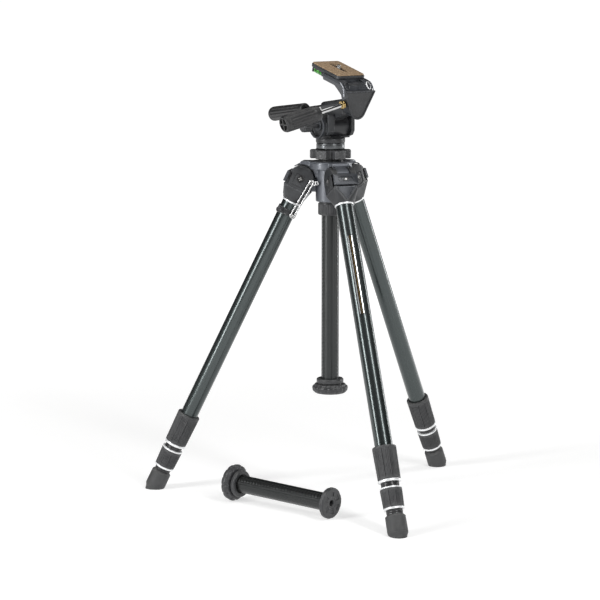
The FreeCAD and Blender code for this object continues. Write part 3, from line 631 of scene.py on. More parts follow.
@dataclass(frozen=True)
class Finish:
    """One surface finish; lengths are millimetres."""

    name: str
    slot: str
    colour: tuple[float, float, float]
    second: tuple[float, float, float]
    roughness: float
    metallic: float = 0.0
    texture: Texture = Texture.GRAIN
    grain: float = 0.8
    depth: float = 0.02
    uneven: float = 0.06
    coat: float = 0.0
    coat_roughness: float = 0.15
    wear: float = 0.0
    worn: tuple[float, float, float] = (0.5, 0.5, 0.5)
    dust: float = 0.0
    specular: float = 0.5

    def material(self) -> bpy.types.Material:
        """The finish as a material, made once."""
        found = bpy.data.materials.get(self.name + LOOK)
        if found is not None:
            return found
        made = bpy.data.materials.new(self.name + LOOK)
        made.use_nodes = True
        made.node_tree.nodes.clear()
        nodes = Nodes(made.node_tree)
        shader = nodes.add("BsdfPrincipled", {
            "Metallic": self.metallic, "Coat Weight": self.coat, "Coat Roughness": self.coat_roughness,
            "Specular IOR Level": self.specular})
        output = nodes.add("OutputMaterial")
        made.node_tree.links.new(shader.outputs[0], output.inputs[0])
        self.dress(nodes, shader)
        return made

    def coordinates(self, nodes: Nodes) -> bpy.types.NodeSocket:
        """The coordinates that the texture reads."""
        if self.texture in (Texture.DRAWN, Texture.TURNED):
            return nodes.add("UVMap", uv_map=UV_NAME).outputs[0]
        return nodes.add("TexCoord").outputs["Object"]

    def base(self, nodes: Nodes, tone: bpy.types.NodeSocket) -> bpy.types.NodeSocket:
        """The colour before wear and dust."""
        return nodes.blend(tone, (*self.colour, 1), (*self.second, 1))

    def dress(self, nodes: Nodes, shader: bpy.types.Node) -> None:
        """Feeds the shader's colour, roughness and normal."""
        place = nodes.add("TexCoord").outputs["Object"]
        relief = nodes.group(Effects.texture(self.texture), {
            "Vector": self.coordinates(nodes), "Scale": 1.0 / (self.grain * MM)})
        colour = self.base(nodes, relief.outputs["Tone"])
        swing = nodes.math("MULTIPLY", nodes.math("SUBTRACT", relief.outputs["Tone"], 0.5), self.uneven * 2)
        rough = nodes.math("ADD", swing, self.roughness)
        if self.wear:
            worn = nodes.group(Effects.edge_wear(), {"Vector": place, "Amount": self.wear}).outputs[0]
            colour = nodes.blend(worn, colour, (*self.worn, 1))
        if self.dust:
            film = nodes.group(Effects.dust(), {"Vector": place, "Amount": self.dust}).outputs[0]
            colour = nodes.blend(film, colour, DUST)
            rough = nodes.math("ADD", rough, nodes.math("MULTIPLY", film, 0.4))
        bump = nodes.add("Bump", {"Strength": 1.0, "Distance": self.depth * MM,
                                  "Height": relief.outputs["Height"]})
        links = nodes.tree.links
        links.new(colour, shader.inputs["Base Color"])
        links.new(rough, shader.inputs["Roughness"])
        links.new(bump.outputs[0], shader.inputs["Normal"])


@dataclass(frozen=True)
class StripedFinish(Finish):
    """The anodised tube with a printed gloss panel and a thin gold stripe along it, flanked by two pale lines
    that are painted highlights for the lamps' streaks.
    """

    centre: float = 0.0        # the stripes' middle, round the tube, as surface millimetres
    panel: tuple[float, float] = (-2.6, 9.5)
    ends: tuple[float, float] = (-229.0, -96.0)
    ink: tuple[float, float, float] = (0.012, 0.013, 0.014)
    gold: tuple[float, float, float] = (0.62, 0.42, 0.16)
    # colour of the two painted highlight lines beside the gold stripe
    silver: tuple[float, float, float] = (0.75, 0.76, 0.76)

    def base(self, nodes: Nodes, tone: bpy.types.NodeSocket) -> bpy.types.NodeSocket:
        """The plain tube's colour, with the panel, its gold stripe and the two painted highlight lines over
        it.
        """
        split = nodes.add("SeparateXYZ", {0: nodes.add("UVMap", uv_map=UV_NAME).outputs[0]})
        girth, along = split.outputs[0], split.outputs[1]

        def band(value: Any, low: float, high: float) -> bpy.types.NodeSocket:
            """One between low and high, with ends a tenth of a millimetre soft."""
            soft = 0.1 * MM
            rise = nodes.step(value, low * MM - soft, low * MM + soft)
            fall = nodes.step(value, high * MM - soft, high * MM + soft, 1.0, 0.0)
            return nodes.math("MULTIPLY", rise, fall)

        length = band(along, *self.ends)
        colour = super().base(nodes, tone)
        inked = nodes.math("MULTIPLY", band(girth, self.centre + self.panel[0], self.centre + self.panel[1]),
                           length)
        colour = nodes.blend(inked, colour, (*self.ink, 1))
        inner = band(along, self.ends[0] + 1.5, self.ends[1] - 1.5)
        # the two pale lines beside the gold stripe are painted highlights, standing for the softbox streaks
        # on the gloss panel
        for offset, half, paint in ((0.0, 0.35, self.gold), (2.7, 0.75, self.silver),
                                    (-3.0, 0.85, self.silver)):
            line = band(girth, self.centre + offset - half, self.centre + offset + half)
            colour = nodes.blend(nodes.math("MULTIPLY", line, inner), colour, (*paint, 1))
        return colour


@dataclass(frozen=True)
class CorkFinish(Finish):
    """Pressed cork: pale crumbs in several tans, with dark flecks between them."""

    fleck: tuple[float, float, float] = (0.10, 0.06, 0.035)

    def base(self, nodes: Nodes, tone: bpy.types.NodeSocket) -> bpy.types.NodeSocket:
        """Crumbs of random tan, darkened at their borders and in scattered flecks."""
        place = nodes.add("TexCoord").outputs["Object"]
        crumbs = nodes.add("TexVoronoi", {"Vector": place, "Scale": 620.0})
        shade = nodes.add("SeparateXYZ", {0: crumbs.outputs[1]}).outputs[0]
        colour = nodes.blend(shade, (*self.colour, 1), (*self.second, 1))
        colour = nodes.blend(nodes.step(crumbs.outputs[0], 0.35, 0.75, 0.0, 0.35), colour, (*self.fleck, 1))
        flecks = nodes.add("TexVoronoi", {"Vector": place, "Scale": 340.0, "Randomness": 1.0})
        chosen = nodes.add("SeparateXYZ", {0: flecks.outputs[1]}).outputs[1]
        spot = nodes.math("MULTIPLY", nodes.step(flecks.outputs[0], 0.22, 0.42, 1.0, 0.0),
                          nodes.step(chosen, 0.66, 0.70))
        return nodes.blend(nodes.math("MULTIPLY", spot, 0.8), colour, (*self.fleck, 1))


@dataclass(frozen=True)
class GlassFinish:
    """Clear or tinted glass and liquid; a set glow makes a part shine by itself, as painted light."""

    name: str
    slot: str
    colour: tuple[float, float, float]
    roughness: float = 0.03
    transmission: float = 1.0
    glow: float = 0.0

    def material(self) -> bpy.types.Material:
        """The glass as a material, with a faint cloudy waviness in its tint, which its glow takes too."""
        found = bpy.data.materials.get(self.name + LOOK)
        if found is not None:
            return found
        made = bpy.data.materials.new(self.name + LOOK)
        made.use_nodes = True
        made.node_tree.nodes.clear()
        nodes = Nodes(made.node_tree)
        shader = nodes.add("BsdfPrincipled", {
            "Roughness": self.roughness, "Transmission Weight": self.transmission, "IOR": 1.45,
            "Emission Strength": self.glow})
        output = nodes.add("OutputMaterial")
        made.node_tree.links.new(shader.outputs[0], output.inputs[0])
        cloud = nodes.noise(nodes.add("TexCoord").outputs["Object"], 220.0)
        pale = tuple(min(1.0, c * 1.25 + 0.03) for c in self.colour)
        colour = nodes.blend(cloud, (*self.colour, 1), (*pale, 1))
        made.node_tree.links.new(colour, shader.inputs["Base Color"])
        made.node_tree.links.new(colour, shader.inputs["Emission Color"])
        return made


@dataclass(frozen=True)
class Palette:
    """Every finish of the tripod."""

    shoulder: Finish = Finish("shoulder_paint", "shoulder_paint", (0.085, 0.092, 0.106),
                              (0.125, 0.134, 0.152), 0.36,
                              metallic=0.3, grain=1.3, depth=0.05, wear=0.5, worn=(0.40, 0.42, 0.45),
                              dust=0.08,
                              coat=0.2)
    # painted highlight: this light metal finish goes on the strips along the bracket's bend, standing for
    # light caught on its edges
    worn: Finish = Finish("worn_edge", "head_paint", (0.34, 0.35, 0.38), (0.50, 0.52, 0.55), 0.32,
                          metallic=0.6,
                          grain=0.7, depth=0.02)
    yoke: Finish = Finish("yoke_paint", "head_paint", (0.024, 0.025, 0.027), (0.036, 0.038, 0.041), 0.40,
                          metallic=0.2, grain=0.9, depth=0.05, wear=0.5, worn=(0.22, 0.23, 0.24), dust=0.12)
    head: Finish = Finish("head_paint", "head_paint", (0.020, 0.021, 0.023), (0.032, 0.034, 0.037), 0.40,
                          metallic=0.15, grain=0.8, depth=0.05, wear=0.45, worn=(0.20, 0.21, 0.23), dust=0.15)
    bracket: Finish = Finish("bracket_paint", "head_paint", (0.034, 0.037, 0.043), (0.050, 0.054, 0.062),
                             0.36,
                             metallic=0.3, grain=1.0, depth=0.04, wear=0.55, worn=(0.33, 0.35, 0.38),
                             dust=0.1)
    cover: Finish = Finish("cover_paint", "head_paint", (0.018, 0.019, 0.020), (0.030, 0.031, 0.033), 0.46,
                           texture=Texture.STIPPLE, grain=1.1, depth=0.12, wear=0.4, worn=(0.2, 0.2, 0.21))
    bolt: Finish = Finish("zinc_bolt", "zinc_bolt", (0.30, 0.30, 0.29), (0.46, 0.46, 0.45), 0.30,
                          metallic=1.0,
                          grain=0.5, depth=0.01)
    blackened: Finish = Finish("blackened_bolt", "zinc_bolt", (0.016, 0.016, 0.017), (0.028, 0.028, 0.029),
                               0.34,
                               metallic=0.4, grain=0.5, depth=0.01)
    steel: Finish = Finish("polished_steel", "polished_steel", (0.52, 0.52, 0.52), (0.60, 0.60, 0.60), 0.09,
                           metallic=1.0, grain=0.7, depth=0.003, uneven=0.02)
    ring: Finish = Finish("turned_aluminium", "turned_aluminium", (0.84, 0.85, 0.86), (0.92, 0.93, 0.94),
                          0.36,
                          metallic=0.35, texture=Texture.TURNED, grain=0.5, depth=0.01)
    leg: Finish = Finish("leg_anodised", "leg_anodised", (0.055, 0.066, 0.066), (0.068, 0.080, 0.080), 0.25,
                         metallic=0.8, texture=Texture.DRAWN, grain=0.6, depth=0.006, uneven=0.04, coat=0.35,
                         coat_roughness=0.12)
    section: Finish = Finish("section_anodised", "section_anodised", (0.46, 0.47, 0.48), (0.56, 0.57, 0.58),
                             0.3,
                             metallic=0.9, texture=Texture.DRAWN, grain=0.6, depth=0.006)
    column: Finish = Finish("column_anodised", "column_anodised", (0.032, 0.034, 0.034),
                            (0.046, 0.048, 0.048),
                            0.30, metallic=0.75, texture=Texture.DRAWN, grain=0.6, depth=0.006, coat=0.15)
    flange: Finish = Finish("flange_anodised", "column_anodised", (0.10, 0.105, 0.11), (0.14, 0.147, 0.15),
                            0.32,
                            metallic=0.8, texture=Texture.TURNED, grain=0.6, depth=0.015, wear=0.3,
                            worn=(0.4, 0.4, 0.42))
    lock: Finish = Finish("lock_rubber", "lock_rubber", (0.040, 0.041, 0.043), (0.056, 0.057, 0.059), 0.52,
                          grain=0.7, depth=0.03, wear=0.3, worn=(0.11, 0.11, 0.115), dust=0.15)
    foot: Finish = Finish("foot_rubber", "foot_rubber", (0.042, 0.043, 0.044), (0.058, 0.059, 0.060), 0.6,
                          grain=0.9, depth=0.04, wear=0.25, worn=(0.12, 0.12, 0.12), dust=0.2)
    grip: Finish = Finish("grip_rubber", "grip_rubber", (0.014, 0.014, 0.015), (0.022, 0.022, 0.023), 0.38,
                          grain=0.6, depth=0.02, wear=0.35, worn=(0.10, 0.10, 0.105), dust=0.1)
    plastic: Finish = Finish("lock_plastic", "lock_plastic", (0.032, 0.033, 0.035), (0.046, 0.047, 0.05), 0.4,
                             grain=0.7, depth=0.02, wear=0.4, worn=(0.2, 0.2, 0.21), dust=0.12)
    stippled: Finish = Finish("stippled_plastic", "lock_plastic", (0.040, 0.041, 0.043),
                              (0.058, 0.059, 0.062),
                              0.36, texture=Texture.STIPPLE, grain=1.5, depth=0.35, wear=0.5,
                              worn=(0.3, 0.3, 0.31))
    bush: Finish = Finish("bush_plastic", "bush_plastic", (0.022, 0.022, 0.023), (0.032, 0.032, 0.033), 0.35,
                          grain=0.7, depth=0.02)
    cork: Finish = CorkFinish("cork", "cork", (0.25, 0.17, 0.10), (0.36, 0.26, 0.165), 0.85, grain=1.4,
                              depth=0.12,
                              specular=0.25)
    brass: Finish = Finish("brass_collar", "brass_collar", (0.44, 0.31, 0.12), (0.52, 0.38, 0.17), 0.22,
                           metallic=1.0, grain=0.6, depth=0.006)
    dot: Finish = Finish("white_mark", "lock_plastic", (0.80, 0.80, 0.78), (0.86, 0.86, 0.84), 0.4, grain=0.6,
                         depth=0.01)
    glass: GlassFinish = GlassFinish("level_glass", "level_glass", (0.80, 1.0, 0.78))
    # the liquid and the bubble glow a little: painted light, shining by themselves
    liquid: GlassFinish = GlassFinish("level_liquid", "level_glass", (0.10, 0.42, 0.07), 0.2, 0.35, 0.15)
    bubble: GlassFinish = GlassFinish("level_bubble", "level_glass", (0.62, 0.92, 0.45), 0.1, 0.3, 0.35)


# ---- legs ----------------------------------------------------------------------------------------------
@dataclass
class Leg:
    """One leg: yoke, angle tab, three tube sections, two twist locks and a foot.

    Its local frame stands on the hip: z back up the leg, x outwards, y along the hip's axis.
    """

    shop: Workshop
    paint: Palette
    name: str
    columns: int = 96
    lip: float = 0.4
    lock_panels: int = 10
    panel_ribs: int = 4
    rib_depth: float = 0.8
    collar_length: float = 3.2
    collar_proud: float = 1.1
    length: float = 584.0          # from the hip to the end of the foot, sections closed
    box_end: float = -18.0         # where the yoke's box turns into its taper
    facet_half: float = 16.5
    facet_drop: float = 20.0
    cheek_edge: float = 1.3
    stripes_at: float = -20.0      # degrees round from the outward side
    place: Placement = field(init=False)

    def __post_init__(self) -> None:
        """Finds the leg's local frame from its joints."""
        packed = self.shop.packed
        self.place = Placement.from_axes(packed.anchor(self.name + "_hip"),
                                         packed.axis(self.name + "_angle_tab_pull"),
                                         -packed.axis(self.name + "_middle_slide"))

    def node(self, part: str) -> str:
        """The name of one of this leg's nodes."""
        return f"{self.name}_{part}"

    def span(self, part: str) -> tuple[float, float]:
        """A node's ends along the leg."""
        return self.shop.packed.span(self.node(part), self.place)

    def reach(self, part: str) -> float:
        """A node's outer radius."""
        return self.shop.packed.reach(self.node(part), self.place)

    def add(self, part: str, patches: Sequence[Patch], finishes: Sequence[Finish], on: str,
            replaces: Sequence[str] = (), place: Placement | None = None, crease: float = 38.0) -> None:
        """Adds one piece of this leg; parts are named without the leg's name."""
        self.shop.build(self.node(part), patches, place or self.place, finishes, self.node(on),
                        [self.node(n) for n in replaces], crease)

    def build(self) -> None:
        """Makes every piece of the leg."""
        self.tubes()
        self.locks()
        self.foot()
        self.yoke()
        self.angle_tab()

    def tubes(self) -> None:
        """The three tube sections and the bright collar under the yoke."""
        wall = 1.3
        upper = self.paint.leg
        if self.name == "front":
            radius = self.reach("upper_tube")
            middle = math.radians(self.stripes_at % 360.0) * radius
            upper = StripedFinish(**{**vars(self.paint.leg), "name": "leg_striped"}, centre=middle)
        for part, finish in (("upper_tube", upper), ("middle_tube", self.paint.section),
                             ("lower_tube", self.paint.section)):
            low, high = self.span(part)
            radius = self.reach(part)
            section = ring_profile(radius, radius - wall, low, high, self.lip)
            self.add(part + "_skin", [Patch(lathe(section, self.columns), surface=True)], [finish], part,
                     [part])
        radius = self.reach("upper_tube")
        top = self.span("leg_yoke")[0] + 0.6
        collar = ring_profile(radius + self.collar_proud, radius - 0.2, top - self.collar_length, top, 0.8)
        self.add("collar", [Patch(lathe(collar, self.columns), surface=True)], [self.paint.ring],
                 "upper_tube")

    def sleeve(self, low: float, high: float, outer: float, taper: float, bore: float) -> Array:
        """A twist sleeve with panels of fine lengthwise ribs.

        The radius falls in a straight line from outer at the top by taper; inside each panel it is
        cut by depth·(½ − ½·cos) waves, which fade out before the two ends.

        Args:
            low: The lower end.
            high: The upper end.
            outer: The radius at the top.
            taper: How much narrower the lower end is.
            bore: The radius of the hole.

        Returns:
            The closed grid.
        """
        corners = [(bore, low), (outer - taper, low), (outer, high), (bore, high)]
        section = divided(rounded(corners, (0.2, 1.0, 1.6, 0.2), closed=True), 1.6)

        def ribs(turn: Array, radius: Array, height: Array) -> tuple[Array, Array]:
            """Cuts the ribs."""
            part = (turn * self.lock_panels / TURN) % 1.0
            inside = eased(part, 0.10, 0.14) * (1 - eased(part, 0.86, 0.90))
            wave = 0.5 - 0.5 * np.cos(TURN * self.panel_ribs * (part - 0.12) / 0.76)
            ends = eased(height, low + 2.5, low + 4.5) * (1 - eased(height, high - 5.5, high - 3.5))
            outside = eased(radius, bore + 1.0, bore + 1.6)
            groove = (1 - eased(part, 0.0, 0.05)) + eased(part, 0.95, 1.0)
            return radius - outside * ends * self.rib_depth * (inside * wave + 1.8 * groove), height

        return lathe(section, self.lock_panels * 36, ribs)

    def locks(self) -> None:
        """Both twist locks, with their bright rings and the dark segmented gland between them."""
        bore = self.reach("upper_tube") + 0.25
        low, high = self.span("upper_lock")
        outer = self.reach("upper_lock")
        self.add("upper_lock_sleeve", [Patch(self.sleeve(low, high, outer, 1.0, bore))], [self.paint.lock],
                 "upper_lock", ["upper_lock"])
        low, high = self.span("upper_lock_ring")
        bore = self.reach("middle_tube") + 0.25
        ring = ring_profile(self.reach("upper_lock_ring"), bore, low, high - 0.1, 1.0)
        self.add("upper_lock_band", [Patch(lathe(ring, self.columns), surface=True)], [self.paint.ring],
                 "upper_lock_ring", ["upper_lock_ring"])
        gland_top, gland_low = low + 0.4, self.span("lower_lock")[1] + 0.6
        radius = self.reach("middle_tube") + 1.9

        def jaws(turn: Array, distance: Array, height: Array) -> tuple[Array, Array]:
            """Cuts eight slots."""
            slot = eased(np.cos(8 * turn), 0.86, 0.97)
            return distance - slot * 1.1 * eased(distance, bore + 0.4, bore + 0.8), height

        gland = divided(ring_profile(radius, bore, gland_low, gland_top, 0.4), 2.0)
        self.add("upper_lock_gland", [Patch(lathe(gland, 192, jaws))], [self.paint.bush], "upper_lock_ring")
        low, high = self.span("lower_lock")
        outer = self.reach("lower_lock")
        band = 3.0
        self.add("lower_lock_sleeve", [Patch(self.sleeve(low + band, high - band * 0.7, outer, 1.0, bore))],
                 [self.paint.lock], "lower_lock", ["lower_lock"])
        patches = [Patch(lathe(ring_profile(radius, bore, *ends, 0.7), self.columns), surface=True)
                   for radius, ends in ((outer - 0.2, (high - band * 0.7 - 0.3, high)),
                                        (outer - 0.9, (low, low + band + 0.3)))]
        self.add("lower_lock_bands", patches, [self.paint.ring], "lower_lock")
        foot_top = self.span("leg_foot")[1]
        inner = self.reach("lower_tube") + 0.25
        stub = divided(ring_profile(inner + 2.2, inner, foot_top + 0.5, low + 0.6, 0.5), 1.0)
        self.add("lower_lock_gland", [Patch(lathe(stub, 96, lambda a, r, h: (
            r - 0.5 * (np.cos(TURN * (h - low) / 2.6) > 0.2) * (r > inner + 1.2), h)))], [self.paint.bush],
            "lower_lock")

    def foot(self) -> None:
        """The rubber foot, with a chamfered shoulder and toe and a flat sole on the floor.

        It is a lathe; points below the floor are slid back along the leg until they stand on it.
        """
        high = self.span("leg_foot")[1]
        radius = self.reach("leg_foot")
        bore = self.reach("lower_tube")
        end = -self.length
        corners = [(bore, high - 6.0), (bore, high), (radius - 4.6, high), (radius - 0.3, high - 3.6),
                   (radius, end + 5.0), (radius - 2.6, end), (radius - 4.0, end - 8.0), (0.0, end - 8.0)]
        section = divided(rounded(corners, (0, 0.3, 0.8, 0.8, 1.6, 1.0, 1.0, 0)), 1.2)

        def ribs(turn: Array, distance: Array, height: Array) -> tuple[Array, Array]:
            """Presses faint flats and a line above the toe."""
            line = np.exp(-((height - end - 6.0) / 0.5) ** 2)
            return distance - (0.35 * line + 0.25 * ridges(turn, 6, 8.0)) * (distance > bore + 3.0), height

        grid = lathe(section, 120, ribs)
        up = self.place.axes[2]
        depth = np.minimum(self.place.world(grid)[..., 2], 0.0)
        grid[..., 2] -= depth / up[2] / MM
        self.add("foot_rubber", [Patch(grid)], [self.paint.foot], "leg_foot", ["leg_foot"], crease=30.0)

    def yoke(self) -> None:
        """The leg's yoke: two cheeks, a square-to-round socket, a pointed facet and raised panels."""
        low, high = self.shop.packed.extent(self.node("leg_yoke"), self.place)
        half, crown = high[1], high[2]
        deep, socket, mouth = -low[0], self.reach("upper_tube") + 2.3, float(low[2])
        square, slot = self.box_end, 10.9
        tab_low, tab_high = self.span("angle_tab")
        pocket = 17.0
        start = math.degrees(math.asin((tab_high + 0.4) / crown))
        cheek = np.concatenate([
            [(deep, square - 0.5), (deep, tab_low - 0.4), (pocket, tab_low - 0.4), (pocket, tab_high + 0.4)],
            arc((0, 0), crown, start, 180.0, 33), [(-deep, square - 0.5)]])
        cheek = rounded(cheek, 0.7, closed=True, steps=3)
        side = self.place.child(x=(1, 0, 0), z=(0, -1, 0))
        cheeks = [Patch(slab(cheek, a, b, self.cheek_edge), capped=True) for a,
                  b in ((slot, half), (-half, -slot))]
        self.add("yoke_cheeks", cheeks, [self.paint.yoke], "leg_yoke", ["leg_yoke"], side)
        self.add("yoke_socket", [Patch(self.socket(deep, half, socket, square, mouth))], [self.paint.yoke],
                 "leg_yoke", crease=14.0)
        lean = math.atan2(deep - socket, square - mouth)
        face = self.place.child(at=(deep, 0, square), x=(0, 1, 0), z=(math.cos(lean), 0, -math.sin(lean)))
        facet = rounded([(-self.facet_half, 0.6), (0, -self.facet_drop), (self.facet_half, 0.6)], 1.6,
                        closed=True)
        # the facet's own y axis points up the leg, because z × x does
        patches = [Patch(slab(facet, -1.5, 0.75, 0.5), capped=True)]
        rim = facet - outward(facet) * 1.3
        patches.append(Patch(holed_slab(facet + outward(facet) * 0.35, rim, 0.2, 1.15, 0.3)))
        self.add("yoke_facet", patches, [self.paint.bracket], "leg_yoke", place=face)
        panels = []
        for sign in (-1, 1):
            base, top = half - 0.4, half + 0.45
            reach = (base, top) if sign < 0 else (-top, -base)
            frame = box_loop(24.5, 21.0, 2.0, (-1.0, -4.0))
            panels.append(Patch(holed_slab(frame, box_loop(22.3, 18.8, 1.2, (-1.0, -4.0)), *reach, 0.25)))
            ring = arc((0, 0), 8.6, 0, 360, 49)
            panels.append(Patch(holed_slab(ring, arc((0, 0), 6.6, 0, 360, 49), *reach, 0.3)))
            crest = np.concatenate([arc((0, 0), crown - 2.2, 62, 176, 25),
                                    arc((0, 0), crown - 3.6, 176, 62, 25)])
            panels.append(Patch(slab(np.concatenate([crest, crest[:1]]), *reach, 0.3), capped=True))
        self.add("yoke_relief", panels, [self.paint.yoke], "leg_yoke", place=side)

    def socket(self, deep: float, half: float, radius: float, top: float, mouth: float) -> Array:
        """The square-to-round part of the yoke.

        Straight lines join a rectangle's edge above to a circle below. The whole of a side goes to
        one point of the circle, and a corner fans out to the quarter between two such points, so
        each side ends in a flat triangle.

        Args:
            deep: Half of the rectangle along x.
            half: Half of the rectangle along y.
            radius: The circle's radius.
            top: The rectangle's height.
            mouth: The circle's height.

        Returns:
            The grid, closed at both ends.
        """
        run = np.linspace(-1.0, 1.0, 13)
        fan = np.linspace(0.0, 90.0, 15)
        corners = [(deep, half), (-deep, half), (-deep, -half), (deep, -half)]
        above, below = [], []
        for quarter, (here, there) in enumerate(zip(corners[-1:] + corners[:-1], corners)):
            mix = (run[:, None] + 1) / 2
            above += [np.array(here) * (1 - mix) + np.array(there) * mix, np.tile(there, (len(fan), 1))]
            angle = np.radians(90.0 * quarter + fan)
            below += [np.tile((math.cos(math.radians(90.0 * quarter)),
                               math.sin(math.radians(90.0 * quarter))),
                              (len(run), 1)), np.stack([np.cos(angle), np.sin(angle)], axis=1)]
        upper = np.concatenate(above + [above[0][:1]])
        lower = np.concatenate(below + [below[0][:1]]) * radius
        share = np.linspace(0.0, 1.0, 9)[:, None, None]
        wall = upper[None] * (1 - share) + lower[None] * share
        heights = [top + (mouth + 0.8 - top) * s for s in np.linspace(0, 1, 9)]
        lip = [(lower * (1 - 0.8 / radius), mouth), (lower * (self.reach("upper_tube") / radius), mouth),
               (lower * (self.reach("upper_tube") / radius), mouth + 9.0), (lower * 0.0, mouth + 9.0)]
        rows = [np.zeros_like(upper)] + list(wall) + [loop for loop, _ in lip]
        levels = [top] + heights + [height for _, height in lip]
        return np.stack([np.concatenate([row, np.full((len(row), 1), level)], axis=1)
                         for row, level in zip(rows, levels)])

    def angle_tab(self) -> None:
        """The pull tab that sets the leg's angle: a bar with a pill recess, a slider and a white mark."""
        low, high = self.shop.packed.extent(self.node("angle_tab"), self.place)
        half, middle = float(high[1]), float(low[2] + high[2]) / 2
        tall = float(high[2] - low[2])
        face = self.place.child(at=(float(high[0]), 0, middle), x=(0, 1, 0), z=(1, 0, 0))
        bar = rounded([(-half, -tall / 2), (half, -tall / 2), (half, tall / 2), (-half, tall / 2)], 1.6,
                      closed=True,
                      steps=7)
        pill = rounded([(-12.5, -3.6), (12.5, -3.6), (12.5, 3.6), (-12.5, 3.6)], 3.6, closed=True, steps=7)
        depth = float(high[0]) - 17.6
        patches = [Patch(holed_slab(bar, pill, -3.0, 0.0, 0.9)),
                   Patch(slab(bar - outward(bar) * 0.2, -depth, -1.6, 0.4), capped=True)]
        self.add("tab_bar", patches, [self.paint.bracket], "angle_tab", ["angle_tab"], face)
        bead = rounded([(0.0, -1.4), (0.0, 0.25), (1.5, 0.15), (1.9, -0.5), (1.9, -1.7)],
                       (0, 0.5, 0.5, 0.4, 0))
        self.add("tab_mark", [Patch(lathe(bead[::-1], 32))], [self.paint.dot], "angle_tab", place=face)
        slider = box_loop(9.0, 5.4, 1.0)
        grip = [Patch(slab(slider, -1.7, -0.6, 0.3), capped=True)]
        for sign in (-1, 1):
            grip.append(Patch(slab(box_loop(1.0, 5.0, 0.4, (sign * 7.4, 0)), -1.7, -0.7, 0.25), capped=True))
        self.add("tab_slider", grip, [self.paint.plastic], "angle_tab", place=face)


@dataclass
class StrapLink:
    """Band, wire link and round knob on the left leg, in that leg's local frame."""

    leg: Leg
    wire: float = 1.35
    foot_x: float = -14.0
    lean: float = 4.4

    def build(self) -> None:
        """Makes the band, the link, its eye and the knob."""
        shop, place, paint = self.leg.shop, self.leg.place, self.leg.paint
        low, high = shop.packed.span("strap_band", place)
        tube = self.leg.reach("upper_tube")
        outer = tube + 2.1
        band = divided(ring_profile(outer, tube + 0.05, low, high, 0.8), 1.0)
        ribbed = lathe(band, 240, lambda a, r, h: (r - 0.35 * ridges(a, 60) * (r > outer - 0.6), h))
        middle = (low + high) / 2
        facing = place.child(at=(0, 0, middle), x=(1, 0, 0), z=(0, 1, 0))
        knob = place.local(shop.packed.anchor("strap_knob_turn"))
        lower, upper = shop.packed.extent("strap_link", place)
        # the facing frame's own y axis points down the leg
        ears = [Patch(ribbed)]
        for x, reach in ((float(knob[0]), float(knob[1])), (self.foot_x, float(lower[1]) - 0.1)):
            ear = facing.world(slab(box_loop(8.4, 8.6, 1.6, (x, 0)), outer * 0.55, reach, 0.7)) / MM
            ears.append(Patch(place.local(ear * MM), capped=True))
        shop.build("strap_band_cover", ears, place, [paint.plastic], "strap_band", ["strap_band"])
        plane = float(lower[1] + upper[1]) / 2
        lean = math.radians(self.lean)
        inner = place.child(at=(self.foot_x, plane, middle), x=(math.cos(lean), 0, math.sin(lean)),
                            z=(-math.sin(lean), 0, math.cos(lean)))
        low, high = shop.packed.extent("strap_link", inner)
        half = float(high[0] - low[0]) / 2 - self.wire
        top = float(high[2]) - self.wire - half
        path = np.concatenate([arc((0, top), half, 0, 180, 15), arc((0, 0), half, 180, 360, 15),
                               [(half, top)]])
        parts = [Patch(tube_along(divided(path, 4.0), self.wire, closed=True))]
        for x, z, radius in ((0.0, top + 1.5, 3.4), (-4.5, top + 2.0, 2.8), (-8.0, top + 5.0, 2.4)):
            parts.append(Patch(tube_along(arc((x, z), radius, 0, 360, 33), 1.1, 12, closed=True)))
        shop.build("wire_link", parts, inner, [paint.steel], "strap_link", ["strap_link"])
        rivet = rounded([(0, -2.2), (2.4, -2.2), (2.4, 1.6), (1.4, 2.4), (0, 2.5)], (0, 0.3, 0.8, 0.6, 0))
        swap = inner.child(x=(1, 0, 0), z=(0, 1, 0))
        shop.build("wire_link_rivet", [Patch(lathe(rivet, 32))], swap, [paint.bolt], "strap_link")
        self.knob()

    def knob(self) -> None:
        """The round screw knob that clamps the band, with a hollow end."""
        shop, paint = self.leg.shop, self.leg.paint
        axis = Placement.from_axes(shop.packed.anchor("strap_knob_turn"), self.leg.place.axes[0],
                                   self.leg.place.axes[1])
        low, high = shop.packed.span("strap_knob", axis)
        radius = shop.packed.reach("strap_knob", axis)
        section = divided(rounded([(0, low), (1.9, low), (1.9, 0.3), (radius - 0.8, 0.3), (radius, 2.0),
                                   (radius, high - 1.8),
                                   (radius - 1.6, high), (radius - 2.4, high - 0.2),
                                   (radius - 2.7, high - 1.6),
                                   (0, high - 1.8)], (0, 0.2, 0.2, 0.8, 1.0, 1.4, 0.5, 0.3, 0.3, 0)), 0.7)
        grid = lathe(section, 120, lambda a, r, h: (r - 0.4 * ridges(a, 20) * (r > radius - 0.6), h))
        shop.build("strap_knob_cap", [Patch(grid)], axis, [paint.plastic], "strap_knob", ["strap_knob"])


